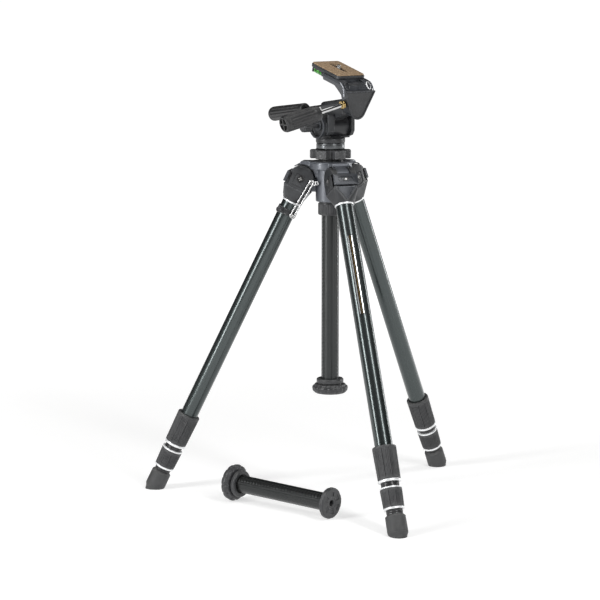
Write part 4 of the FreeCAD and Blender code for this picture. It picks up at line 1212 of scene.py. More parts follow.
# ---- shoulder, clamp and column ----------------------------------------------------------------------------
@dataclass
class Shoulder:
    """The shoulder casting, its hip bolts and the clamp that holds the column."""

    shop: Workshop
    paint: Palette
    legs: Sequence[Leg]
    place: Placement = field(init=False)
    lobes: int = 6
    lobe_half: float = 9.8
    lobe_heading: float = -80.0    # degrees

    def __post_init__(self) -> None:
        """Finds the column's axis."""
        self.place = Placement.from_axes(self.shop.packed.anchor("column_lock_turn") * (1, 1, 0), (1, 0, 0),
                                         (0, 0, 1))

    def build(self) -> None:
        """Makes every piece of the shoulder."""
        self.shop.casting("shoulder_casting", "shoulder", self.paint.shoulder, 0.95)
        self.lips()
        self.bolts()
        self.nut()
        self.bushing()
        self.lock_ring()

    def lips(self) -> None:
        """Raised arcs on the arms, round each hip, and a thin dark strip in each scallop: painted shade along
        the groove line.
        """
        raised, dark = [], []
        for leg in self.legs:
            crown = leg.shop.packed.extent(leg.node("leg_yoke"), leg.place)[1][2]
            frame = Placement.from_axes(leg.place.origin, np.cross(leg.place.axes[1], (0, 0, 1)), (0, 0, 1))
            side = frame.child(x=(1, 0, 0), z=(0, -1, 0))
            for inner, outer, reach, parts in ((crown + 1.2, crown + 2.7, 15.7, raised),
                                               (crown + 0.9, crown + 1.3, 15.9, dark)):
                loop = np.concatenate([arc((0, 0), outer, 62, 150, 29), arc((0, 0), inner, 150, 62, 29)])
                loop = np.concatenate([loop, loop[:1]])
                for sign in (-1, 1):
                    ends = sorted((sign * (reach - 2.2), sign * reach))
                    grid = slab(loop, *ends, 0.15)
                    parts.append(Patch(side.world(grid) / MM, capped=True))
        world = Placement(np.zeros(3), np.eye(3))
        self.shop.build("shoulder_lips", raised, world, [self.paint.bracket], "shoulder")
        # the dark strips are painted shade for the groove line round each hip
        self.shop.build("shoulder_grooves", dark, world, [self.paint.bush], "shoulder")

    def bolts(self) -> None:
        """The hip bolts: a blackened domed head with a bright cross at each end of each shank."""
        patches, bright = [], []
        for leg in self.legs:
            half = float(leg.shop.packed.extent(leg.node("leg_yoke"), leg.place)[1][1]) - 0.2
            for sign in (-1, 1):
                end = leg.place.child(at=(0, sign * half, 0), x=(1, 0, 0), z=(0, sign, 0))
                section = divided(rounded([(4.0, -half), (4.0, 0.0), (6.7, 0.25), (6.7, 1.2), (5.9, 1.6),
                                           (5.4, 1.0),
                                           (4.6, 1.0), (4.3, 1.9), (0, 2.1)],
                                          (0, 0.2, 0.2, 0.3, 0.4, 0.2, 0.2, 0.6, 0)), 1.2)

                def cross(turn: Array, radius: Array, height: Array) -> tuple[Array, Array]:
                    """Sinks a cross into the head."""
                    x, y = np.abs(radius * np.cos(turn)), np.abs(radius * np.sin(turn))
                    arm = (1 - eased(np.minimum(x, y), 0.5, 0.95)) * (1 - eased(radius, 2.9, 3.4))
                    return radius, height - 1.5 * arm * (height > 1.4)

                patches.append(Patch(end.world(lathe(section, 72, cross)) / MM, surface=False))
                for width, depth, top in ((6.4, 1.7, 2.25), (1.7, 6.4, 2.30)):
                    bright.append(Patch(end.world(slab(box_loop(width, depth, 0.5), 0.4, top, 0.3)) / MM,
                                        capped=True))
        world = Placement(np.zeros(3), np.eye(3))
        self.shop.build("hip_bolt_set", patches, world, [self.paint.blackened], "hip_bolts", ["hip_bolts"],
                        25.0)
        self.shop.build("hip_bolt_crosses", bright, world, [self.paint.bolt], "hip_bolts")

    def nut(self) -> None:
        """The ribbed nut under the hub: a lathe with fine ridges between two plain lips."""
        packed = self.shop.packed
        low, high = packed.span("column_lower_nut", self.place)
        radius = packed.reach("column_lower_nut", self.place)
        bore = packed.reach("centre_column", self.place) + 0.1
        corners = [(bore, low), (radius - 1.0, low), (radius, low + 1.5), (radius, high - 3.2),
                   (radius - 1.3, high - 2.8),
                   (radius - 1.3, high), (bore, high)]
        section = divided(rounded(corners, 0.6, closed=True), 1.2)

        def ribs(turn: Array, distance: Array, height: Array) -> tuple[Array, Array]:
            """Raises the ridges."""
            ends = eased(height, low + 1.8, low + 3.0) * (1 - eased(height, high - 5.0, high - 3.8))
            return distance - 0.7 * (1 - ridges(turn, 36, 0.7)) * ends * (distance > bore + 2.0), height

        self.shop.build("column_nut", [Patch(lathe(section, 360, ribs))], self.place, [self.paint.plastic],
                        "column_lower_nut", ["column_lower_nut"])

    def bushing(self) -> None:
        """The split bushing round the column, with a stepped neck above the casting."""
        packed = self.shop.packed
        low, high = packed.span("column_bush", self.place)
        neck = packed.reach("column_bush", self.place)
        shoulder_top = packed.span("shoulder", self.place)[1]
        bore = packed.reach("centre_column", self.place) + 0.08
        corners = [(bore, low), (17.0, low), (17.0, shoulder_top - 0.2), (neck, shoulder_top - 0.2),
                   (neck, shoulder_top + 1.6), (neck - 1.4, shoulder_top + 2.2), (neck - 1.4, high),
                   (bore, high)]
        section = rounded(corners, 0.4, closed=True)
        self.shop.build("column_bushing", [Patch(lathe(section, 96))], self.place, [self.paint.bush],
                        "column_bush", ["column_bush"])

    def lock_ring(self) -> None:
        """The six-lobed lock ring with stippled lobe faces.

        Its outline is the larger of a plain circle and a circle of the lobes' reach inside three
        crossed bars.
        """
        packed = self.shop.packed
        low, high = packed.span("column_lock_ring", self.place)
        reach = packed.reach("column_lock_ring", self.place)
        bore = packed.reach("centre_column", self.place) + 0.4
        hub = 22.0
        heading = math.radians(self.lobe_heading)
        corners = [(bore, low), (reach, low), (reach, high), (bore, high)]
        section = divided(rounded(corners, (0.3, 1.2, 2.6, 0.8), closed=True, steps=7), 1.0)

        def lobed(turn: Array, radius: Array, height: Array) -> tuple[Array, Array]:
            """Draws the rim in between the lobes."""
            pitch = TURN / self.lobes
            part = (turn - heading + pitch / 2) % pitch - pitch / 2
            flank = self.lobe_half / np.maximum(np.abs(np.sin(part)), 1e-4)
            rim = np.maximum(hub, np.minimum(reach, flank))
            share = np.clip((radius - bore) / (reach - bore), 0.0, 1.0)
            return bore + share * (rim - bore), height

        mesh = self.shop.mesh("column_ring", [Patch(lathe(section, 300, lobed))], self.place)
        self.shop.piece("column_ring", mesh, [self.paint.stippled], "column_lock_ring", ["column_lock_ring"],
                        40.0)


@dataclass
class Column:
    """A knurled column with its foot disc and its flange; the spare column is the same kind."""

    shop: Workshop
    paint: Palette
    place: Placement
    tube: str
    foot: str
    flange: str
    label: str
    bands: Sequence[float] = (-175.0, -47.0, 70.0)
    band_half: float = 26.0        # degrees
    pitch: float = 6.2
    relief: float = 0.45

    def build(self) -> None:
        """Makes the tube and the foot."""
        self.knurled_tube()
        self.foot_disc()

    def knurled_tube(self) -> None:
        """The tube with three lengthwise bands of slanted oblong bumps.

        Inside a band the surface stands in by the relief, less a bump height: the product of two
        cosines whose second one runs slantwise, opposite ways in the band's two halves, as in a
        plait.
        """
        packed = self.shop.packed
        low, high = packed.span(self.tube, self.place)
        radius = packed.reach(self.tube, self.place)
        section = divided(ring_profile(radius, radius - 1.8, low, high, 0.3), 0.9)
        centres = np.radians(np.array(self.bands))[:, None, None]

        def knurl(turn: Array, distance: Array, height: Array) -> tuple[Array, Array]:
            """Presses the plaits."""
            offset = (turn[None] - centres + math.pi) % TURN - math.pi
            offset = np.take_along_axis(offset, np.abs(offset).argmin(axis=0)[None], axis=0)[0]
            half = math.radians(self.band_half)
            inside = 1 - eased(np.abs(offset), half * 0.94, half)
            across = np.abs(offset) / half
            bump = np.clip(np.cos(TURN * (height / self.pitch - 0.45 * across)) + 0.35, 0.0, 1.0)
            row = np.clip(np.sin(math.pi * np.clip(across, 0, 1)) * 1.6, 0.0, 1.0)
            ends = eased(height, low + 7.0, low + 9.0) * (1 - eased(height, high - 9.0, high - 7.0))
            cut = self.relief * inside * ends * (1 - 0.9 * bump * row)
            return distance - cut * (distance > radius - 0.6), height

        self.shop.build(self.label + "_tube", [Patch(lathe(section, 132, knurl), surface=True)], self.place,
                        [self.paint.column], self.tube, [self.tube], 50.0)

    def foot_disc(self) -> None:
        """The foot: a flared disc with a scalloped rim, a groove, and a smaller ring above it."""
        packed = self.shop.packed
        low, high = packed.span(self.foot, self.place)
        radius = packed.reach(self.foot, self.place)
        bore = packed.reach(self.tube, self.place) - 0.05
        ring = 22.0
        tall = high - low
        corners = [(0, low + 1.6), (radius * 0.55, low + 1.6), (radius * 0.62, low), (radius * 0.84, low),
                   (radius * 0.97, low + tall * 0.16), (radius, low + tall * 0.36),
                   (radius - 0.6, low + tall * 0.46),
                   (radius - 2.6, low + tall * 0.50), (radius - 4.4, low + tall * 0.62),
                   (ring - 3.0, low + tall * 0.62),
                   (ring - 3.0, low + tall * 0.70), (ring, low + tall * 0.70),
                   (ring + 0.2, low + tall * 0.93),
                   (ring - 1.2, high), (bore + 2.0, high), (bore, high - 1.2), (bore, high - 7.8)]
        section = divided(rounded(corners, 0.9), 0.9)

        def rim(turn: Array, distance: Array, height: Array) -> tuple[Array, Array]:
            """Scallops the disc's rim and rolls wavy lugs over its top."""
            disc = eased(distance, radius - 6.5, radius - 3.5)
            wave = ridges(turn, 12, 5.0)
            return distance - 1.5 * disc * wave, height - 0.9 * disc * wave * (height > low + tall * 0.4)

        finish = self.paint.plastic
        self.shop.build(self.label + "_foot_disc", [Patch(lathe(section, 192, rim))], self.place, [finish],
                        self.foot, [self.foot], 30.0)


@dataclass
class CentreColumn(Column):
    """The tripod's own column, with the flange and stud that the head screws on."""

    def build(self) -> None:
        """Makes the tube, the foot, the flange and the stud."""
        super().build()
        packed = self.shop.packed
        low, high = packed.span(self.flange, self.place)
        radius = packed.reach(self.flange, self.place)
        stud = packed.reach("head_stud", self.place)
        corners = [(stud, low), (radius - 1.2, low), (radius, low + 1.2), (radius, high - 2.6),
                   (radius - 0.7, high - 2.3),
                   (radius - 0.7, high - 1.7), (radius, high - 1.4), (radius - 0.5, high), (stud, high)]
        section = rounded(corners, 0.35, closed=True)
        self.shop.build("head_flange", [Patch(lathe(section, 160), surface=True)], self.place,
                        [self.paint.flange],
                        self.flange, [self.flange])
        self.stud()

    def stud(self) -> None:
        """The threaded stud: the radius follows a cosine that climbs one pitch in a turn."""
        packed = self.shop.packed
        low, high = packed.span("head_stud", self.place)
        radius = packed.reach("head_stud", self.place)
        section = divided(rounded([(0, low), (radius, low), (radius, high - 0.8), (radius - 0.8, high),
                                   (0, high)],
                                  0.2), 0.3)

        def thread(turn: Array, distance: Array, height: Array) -> tuple[Array, Array]:
            """Cuts the thread."""
            wave = 0.5 + 0.5 * np.cos(TURN * height / 1.5 - turn)
            return distance - 0.5 * wave * (distance > radius - 0.3), height

        self.shop.build("head_stud_thread", [Patch(lathe(section, 48, thread))], self.place,
                        [self.paint.bolt],
                        "head_stud", ["head_stud"])


@dataclass
class SpareColumn(Column):
    """The spare short column on the floor, with a broad flange round a threaded socket."""

    def build(self) -> None:
        """Makes the tube, the foot and the flange with its pressed face."""
        super().build()
        packed = self.shop.packed
        low, high = packed.span(self.flange, self.place)
        radius = packed.reach(self.flange, self.place)
        socket = 4.9
        corners = [(socket, low + 0.4), (15.0, low), (radius - 3.0, low), (radius, low + 2.4),
                   (radius, high - 1.6),
                   (radius - 1.6, high), (socket + 1.2, high), (socket, high - 1.2)]
        section = divided(rounded(corners, 0.6, closed=True), 0.7)

        def face(turn: Array, distance: Array, height: Array) -> tuple[Array, Array]:
            """Presses a ring of six pads and notches the rim."""
            front = eased(height, high - 1.7, high - 1.4)
            ring = eased(distance, 10.5, 11.2) * (1 - eased(distance, 17.6, 18.3))
            pads = eased(np.cos(6 * turn), -0.35, -0.05)
            sunk = front * (1.3 * ring * pads + 0.5 * (1 - eased(distance, 8.6, 9.4)))
            return distance - 0.5 * ridges(turn, 6, 12.0) * (distance > radius - 2.0), height - sunk

        self.shop.build("spare_flange_plate", [Patch(lathe(section, 240, face))], self.place,
                        [self.paint.plastic],
                        self.flange, [self.flange], 30.0)


# ---- head ------------------------------------------------------------------------------------------------
@dataclass
class Grip:
    """A fluted rubber grip on its polished rod, about its own joint."""

    shop: Workshop
    paint: Palette
    joint: str
    rod: str
    grip: str
    label: str
    flutes: int
    pockets: bool
    near_start: float

    def build(self) -> None:
        """Makes the rod and the grip."""
        packed = self.shop.packed
        axis = packed.axis(self.joint)
        place = Placement.from_axes(packed.anchor(self.joint), np.cross(axis, (0, 0, 1)), axis)
        low, high = packed.span(self.rod, place)
        radius = packed.reach(self.rod, place)
        self.shop.build(self.label + "_rod", [Patch(lathe(rounded(
            [(0, low), (radius, low), (radius, high), (0, high)], 0.6), 48), surface=True)], place,
            [self.paint.steel], self.rod, [self.rod])
        low, high = packed.span(self.grip, place)
        outer = packed.reach(self.grip, place)
        near = self.near_start
        bore = radius - 0.05
        swell = high - (high - low) * (0.30 if self.pockets else 0.18)
        corners = [(bore, low + 12.0), (bore, low), (near - 1.8, low), (near, low + 2.5), (near, low + 6.0),
                   (outer, swell), (outer * 0.985, high - 3.5), (outer - 2.0, high), (0, high)]
        if not self.pockets:
            corners[-2:] = [(outer - 3.5, high), (0, high)]
        section = divided(rounded(corners, (0, 0.3, 0.9, 0.9, 1.0, 12.0, 2.0, 1.6, 0)), 0.9)

        def shape(turn: Array, distance: Array, height: Array) -> tuple[Array, Array]:
            """Cuts channels along the side, rings near the far end, and pockets into the end."""
            side = eased(distance, near - 3.2, near - 1.2)
            span = eased(height, low + 9.0, low + 13.0) * (1 - eased(height, high - 12.0, high - 8.0))
            channel = ridges(turn, self.flutes, 2.6)
            rings = eased(height, high - 9.0, high - 8.0) * (1 - eased(height, high - 2.6, high - 2.0))
            ring_cut = 0.35 * rings * (np.cos(TURN * (height - high) / 2.2) > 0.0)
            depth = side * (1.15 * span * channel + ring_cut)
            if self.pockets:
                reach = outer - 2.4
                spoke = np.abs(np.sin(2.0 * turn)) * distance / 2.0
                pocket = eased(spoke, 1.0, 1.6) * eased(distance, 3.2,
                                                        4.0) * (1 - eased(distance, reach - 2.0, reach - 1.2))
                hub = 1 - eased(distance, 1.2, 1.8)
                height = height - (4.5 * pocket + 1.2 * hub) * (height > high - 0.6)
            return distance - depth, height

        self.shop.build(self.label + "_grip", [Patch(lathe(section, self.flutes * 16, shape))], place,
                        [self.paint.grip], self.grip, [self.grip], 40.0)


@dataclass
class Head:
    """The three-way head.

    Its tilting frame stands on the tilt axis: x to the right of the lens, y backwards, z square to
    the platform. The pan frame is the same before tilting.
    """

    shop: Workshop
    paint: Palette
    pan: Placement = field(init=False)
    tilt: Placement = field(init=False)
    foot_radius: float = 14.5
    border: float = 2.4

    def __post_init__(self) -> None:
        """Finds both frames from the joints."""
        packed = self.shop.packed
        across = packed.axis("tilt")
        self.pan = Placement.from_axes(packed.anchor("tilt"), across, (0, 0, 1))
        self.tilt = Placement.from_axes(packed.anchor("tilt"), across, packed.axis("camera_screw_turn"))

    def extent(self, node: str) -> tuple[Array, Array]:
        """A node's corners in the tilting frame."""
        return self.shop.packed.extent(node, self.tilt)

    def build(self) -> None:
        """Makes every piece of the head."""
        shop, paint = self.shop, self.paint
        shop.casting("head_base_casting", "pan_base", paint.head, 0.62)
        shop.casting("tilt_block_casting", "tilt_block", paint.head, 0.62)
        shop.casting("bracket_casting", "tilt_arm", paint.bracket, 0.62)
        self.base_trim()
        self.pan_knob()
        self.bracket_edges()
        self.cover()
        self.platform()
        self.screw()
        self.level()
        self.collar()
        Grip(shop, paint, "side_handle_turn", "side_handle_rod", "side_handle_grip", "side_handle", 12, True,
             13.0).build()
        Grip(shop, paint, "tilt_handle_turn", "tilt_handle_rod", "tilt_handle_grip", "tilt_handle", 12, False,
             10.5).build()

    def base_trim(self) -> None:
        """A lugged ring round the base disc, and the bright rim of the dished left end."""
        packed = self.shop.packed
        low = packed.span("pan_base", self.pan)[0]
        radius = 23.5
        section = divided(rounded([(18.0, low + 0.3), (radius - 1.5, low), (radius + 0.3, low + 1.0),
                                   (radius + 0.3, low + 6.6), (radius - 1.0, low + 8.0), (18.0, low + 8.4)],
                                  0.7, closed=True), 0.7)

        def lugs(turn: Array, distance: Array, height: Array) -> tuple[Array, Array]:
            """Notches the disc's rim between lugs."""
            cut = eased(np.cos(16 * turn), 0.55, 0.85) * eased(height, low + 3.0, low + 4.2)
            return distance - 1.3 * cut * (distance > radius - 2.0), height

        self.shop.build("head_base_ring", [Patch(lathe(section, 320, lugs))], self.pan, [self.paint.head],
                        "pan_base")
        left = self.pan.child(at=(-28.4, 0, 0), x=(0, 1, 0), z=(-1, 0, 0))
        rim = lathe(ring_profile(19.9, 17.6, -2.4, 0.5, 0.8), 96)
        hub = divided(rounded([(3.2, -6.0), (8.2, -5.2), (8.2, -3.4), (6.4, -2.6), (3.2, -2.6)], 0.6,
                              closed=True), 0.8)
        self.shop.build("head_end_rim", [Patch(rim), Patch(lathe(hub, 64))], left, [self.paint.bracket],
                        "pan_base")
        for node in ("tilt_pin", "side_pivot"):
            made = self.shop.packed.nodes[node]
            made.data.materials.clear()
            made.data.materials.append(self.paint.bolt.material())

    def pan_knob(self) -> None:
        """The pan-lock knob in the dished end: a fluted cap on a stem."""
        packed = self.shop.packed
        axis = packed.axis("pan_knob_turn")
        place = Placement.from_axes(packed.anchor("pan_knob_turn"), (0, 0, 1), axis)
        low, high = packed.span("pan_lock_knob", place)
        radius = packed.reach("pan_lock_knob", place)
        start = high - 17.0
        corners = [(0, low), (3.0, low), (3.0, start), (radius - 1.6, start), (radius, start + 2.0),
                   (radius, high - 2.0),
                   (radius - 2.0, high), (radius - 3.0, high - 0.8), (0, high - 0.8)]
        section = divided(rounded(corners, (0, 0.3, 0.3, 0.8, 0.8, 1.0, 0.6, 0.4, 0)), 0.8)
        grid = lathe(section, 200, lambda a, r, h: (
            r - 1.1 * ridges(a, 10, 2.2) * (r > radius - 1.7) * eased(h, start + 2.0, start + 3.5), h))
        self.shop.build("pan_lock_cap", [Patch(grid)], place, [self.paint.plastic], "pan_lock_knob",
                        ["pan_lock_knob"])

    def side_path(self, inset: float) -> Array:
        """The bracket's outer side line in (y, z), from the rear over the bend, moved in by inset."""
        low, high = self.extent("tilt_arm")
        top, rear, bend = float(high[2]), float(high[1]), 20.0
        front = float(low[1]) + 4.0
        bow = arc((front + bend, top - bend), bend - inset, 90, 180, 13)
        return np.concatenate([[(rear, top - inset)], bow, [(front - 3.3 + inset, 42.0)]])

    def bracket_edges(self) -> None:
        """Light metal strips along both sides of the bend, painted highlights for light caught on its edges,
        and round bosses at its ends.
        """
        low, high = self.extent("tilt_arm")
        half = float(high[0])
        patches = []
        for sign in (-1, 1):
            path = divided(self.side_path(0.6)[3:14], 1.5)
            frame = self.tilt.child(at=(sign * (half - 0.35), 0, 0), x=(0, 1, 0), z=(0, 0, 1))
            patches.append(Patch(frame.world(tube_along(path, 0.8, 10)) / MM, capped=True))
        world = Placement(np.zeros(3), np.eye(3))
        # the pale strips along the bend are painted highlights for its lit edges
        self.shop.build("bracket_bright_edges", patches, world, [self.paint.worn], "tilt_arm")
        bosses = []
        for sign in (-1, 1):
            cheek = self.tilt.child(at=(sign * (half - 8.5), float(low[1]) + 4.2 + 9.6, float(high[2]) - 7.6),
                                    x=(1, 0, 0), z=(0, -0.72, 0.69))
            oval = np.stack([4.2 * np.cos(np.linspace(0, TURN, 49)), 7.0 * np.sin(np.linspace(0, TURN, 49))],
                            axis=1)
            inner = np.stack([3.3 * np.cos(np.linspace(0, TURN, 49)),
                              6.1 * np.sin(np.linspace(0, TURN, 49))], axis=1)
            # the right boss takes bright turned aluminium as a painted highlight where that cheek catches the
            # light; the left one stays in the head's paint
            bosses.append(Patch(cheek.world(holed_slab(oval, inner, 2.5, 4.6, 0.5)) / MM,
                                finish=1 if sign > 0 else 0))
            bosses.append(Patch(cheek.world(slab(inner, 1.0, 3.4, 0.3)) / MM, capped=True))
        self.shop.build("bracket_bosses", bosses, world, [self.paint.head, self.paint.ring], "tilt_arm")

    def cover(self) -> None:
        """The triangular front cover with a rounded lower end, a raised border and a stippled field.

        Its outline is two straight sides that touch a circle about the side pivot.
        """
        low, high = self.extent("arm_cover")
        centre = float(low[2]) + self.foot_radius
        top, half = float(high[2]), float(high[0])
        swing = math.degrees(math.atan2(half - self.foot_radius, top - centre))
        slope = 4.0 / 36.0
        front = float(low[1]) + slope * self.foot_radius
        face = self.tilt.child(at=(0, front + 0.1, centre), x=(1, 0, 0), z=(0, -1, slope))
        round_end = arc((0, 0), self.foot_radius, -swing, swing - 180.0, 25)
        loop = rounded(np.concatenate([round_end, [(-half, top - centre), (half, top - centre)]]),
                       np.array([0.0] + [0.4] * 23 + [0.0, 2.5, 2.5]), closed=True)
        field_loop = loop - outward(loop) * self.border
        shell = [Patch(slab(loop, -3.0, -0.7, 0.5), capped=True),
                 Patch(holed_slab(loop, field_loop, -1.6, 0.35, 0.45))]
        self.shop.build("front_cover_border", shell, face, [self.paint.head], "arm_cover", ["arm_cover"])
        self.shop.build("front_cover_field", [Patch(slab(loop - outward(loop) * (self.border + 0.2), -1.6,
                                                         -0.35, 0.3),
                                                    capped=True)], face, [self.paint.cover], "arm_cover")

    def platform(self) -> None:
        """The platform plate and its cork top, each with the long slot for the camera screw."""
        low, high = self.extent("platform")
        cork_low, cork_high = self.extent("cork_pad")
        screw = self.shop.packed.reach("camera_screw", self.screw_place())
        wide = screw + 0.25
        centre = (float(low[0] + high[0]) / 2, float(low[1] + high[1]) / 2)
        run = 17.0

        def loops(width: float, depth: float, grow: float) -> tuple[Array, Array]:
            """An outer rectangle and the slot, read at the same shares of a turn."""
            angle = np.linspace(0.0, TURN, 145)
            direction = np.stack([np.cos(angle), np.sin(angle)], axis=1)
            sharp = 18.0
            shares = np.abs(direction / (np.array([width, depth]) / 2)) ** sharp
            stretch = shares.sum(axis=1)
            outer = direction * stretch[:, None] ** (-1 / sharp)
            reach = wide + grow
            away = run * np.clip(np.sin(angle) * 3, -1, 1)
            slot = np.stack([reach * np.cos(angle), reach * np.sin(angle) + away], axis=1)
            return outer + np.array(centre), slot + np.array(centre)

        outer, slot = loops(float(high[0] - low[0]), float(high[1] - low[1]), 0.0)
        self.shop.build("platform_plate", [Patch(holed_slab(outer, slot, float(low[2]), float(high[2]),
                                                            0.6))],
                        self.tilt, [self.paint.head], "platform", ["platform"])
        outer, slot = loops(float(cork_high[0] - cork_low[0]), float(cork_high[1] - cork_low[1]), 0.4)
        self.shop.build("cork_top", [Patch(holed_slab(outer, slot, float(cork_low[2]) - 0.02,
                                                      float(cork_high[2]), 0.5))],
                        self.tilt, [self.paint.cork], "cork_pad", ["cork_pad"])

    def screw_place(self) -> Placement:
        """The camera screw's own frame."""
        packed = self.shop.packed
        return Placement.from_axes(packed.anchor("camera_screw_turn"), self.tilt.axes[0],
                                   packed.axis("camera_screw_turn"))

    def screw(self) -> None:
        """The camera screw's thread and the wheel under the platform that turns it."""
        packed, place = self.shop.packed, self.screw_place()
        low, high = packed.span("camera_screw", place)
        radius = packed.reach("camera_screw", place)
        section = divided(rounded([(0, low), (radius, low), (radius, high - 0.6), (radius - 0.7, high),
                                   (0, high)],
                                  0.2), 0.22)
        grid = lathe(section, 40, lambda a, r, h: (
            r - 0.42 * (0.5 + 0.5 * np.cos(TURN * h / 1.27 - a)) * (r > radius - 0.2), h))
        self.shop.build("camera_screw_thread", [Patch(grid)], place, [self.paint.bolt], "camera_screw",
                        ["camera_screw"])
        low, high = packed.span("camera_screw_knob", place)
        radius = packed.reach("camera_screw_knob", place)
        corners = [(0, low + 1.2), (radius - 4.5, low + 1.2), (radius - 3.8, low), (radius - 1.2, low),
                   (radius, low + 1.2),
                   (radius, high - 1.2), (radius - 1.2, high), (0, high)]
        section = divided(rounded(corners, 0.7), 0.9)
        grid = lathe(section, 336, lambda a, r, h: (
            r - 0.9 * ridges(a, 28, 1.5) * (r > radius - 1.0) * eased(h, low + 1.0, low + 2.0), h))
        self.shop.build("camera_screw_wheel", [Patch(grid)], place, [self.paint.plastic], "camera_screw_knob",
                        ["camera_screw_knob"])

    def level(self) -> None:
        """The spirit level: a cradle, a glass vial with tinted liquid, a bubble and two marks."""
        low, high = self.extent("level_vial")
        radius = float(high[2] - low[2]) / 2
        middle = (low + high) / 2
        half = float(high[1] - low[1]) / 2
        place = self.tilt.child(at=middle, x=(0, 0, 1), z=(0, 1, 0))
        shell = lathe(rounded([(0, -half), (radius, -half), (radius, half), (0, half)], 1.6, steps=9), 48)
        self.shop.build("level_vial_glass", [Patch(shell)], place, [self.paint.glass], "level_vial",
                        ["level_vial"])
        fill = lathe(rounded([(0, -half + 0.9), (radius - 0.7, -half + 0.9), (radius - 0.7, half - 0.9),
                              (0, half - 0.9)],
                             1.4, steps=9), 40)
        self.shop.build("level_liquid_fill", [Patch(fill)], place, [self.paint.liquid], "level_vial")
        size = 3.4
        angle = np.linspace(0, math.pi, 17)
        oval = np.stack([2.0 * np.sin(angle), -size * np.cos(angle)], axis=1)
        bubble = place.child(at=(1.7, 0, 1.5))
        self.shop.build("level_bubble", [Patch(lathe(oval, 32))], bubble, [self.paint.bubble], "level_vial")
        marks = [Patch(lathe(ring_profile(radius + 0.06, radius - 0.3, z - 0.35, z + 0.35, 0.1), 40))
                 for z in (-4.6, 4.6)]
        self.shop.build("level_marks", marks, place, [self.paint.bush], "level_vial")
        low, high = self.extent("level_holder")
        middle = (low + high) / 2
        frame = self.tilt.child(at=middle, x=(0, 1, 0), z=(0, 0, 1))
        wide, long, tall = (float(v) for v in (high - low))
        loop = box_loop(long, wide, 1.2)
        parts = [Patch(slab(box_loop(3.2, wide, 0.8, (s * (long / 2 - 1.6), 0)), -tall / 2, tall / 2, 0.6),
                       capped=True)
                 for s in (-1, 1)]
        parts.append(Patch(slab(loop, tall / 2 - 1.4, tall / 2, 0.4), capped=True))
        inner = box_loop(long, 2.2, 0.6, (0, -wide / 2 + 1.1))
        parts.append(Patch(slab(inner, -tall / 2, tall / 2, 0.5), capped=True))
        self.shop.build("level_cradle", parts, frame, [self.paint.plastic], "level_holder", ["level_holder"])

    def collar(self) -> None:
        """The brass collar where the side rod enters the bracket: two beads and a groove."""
        packed = self.shop.packed
        axis = packed.axis("side_handle_turn")
        place = Placement.from_axes(packed.anchor("side_handle_turn"), (0, 0, 1), axis)
        low, high = packed.span("rod_collar", place)
        radius, rod = packed.reach("rod_collar", place), packed.reach("side_handle_rod", place)
        middle = (low + high) / 2
        corners = [(rod + 0.05, low), (radius, low), (radius, middle - 0.8), (radius - 0.9, middle - 0.4),
                   (radius - 0.9, middle + 0.4), (radius, middle + 0.8), (radius - 0.2, high),
                   (rod + 0.05, high)]
        self.shop.build("rod_collar_ring", [Patch(lathe(rounded(corners, 0.5, closed=True), 64))], place,
                        [self.paint.brass], "rod_collar", ["rod_collar"])


# ---- studio ------------------------------------------------------------------------------------------------
@dataclass(frozen=True)
class Softbox:
    """One area light; lengths in metres."""

    name: str
    place: tuple[float, float, float]
    size: tuple[float, float]
    watts: float

    def build(self, target: Vector) -> None:
        """Hangs the light and turns it to the target."""
        data = bpy.data.lights.new(self.name, "AREA")
        data.shape, data.size, data.size_y, data.energy = "RECTANGLE", self.size[0], self.size[1], self.watts
        lamp = bpy.data.objects.new(self.name, data)
        lamp.location = self.place
        lamp.rotation_euler = (target - lamp.location).to_track_quat("-Z", "Y").to_euler()
        lamp.visible_camera = False
        bpy.context.scene.collection.objects.link(lamp)


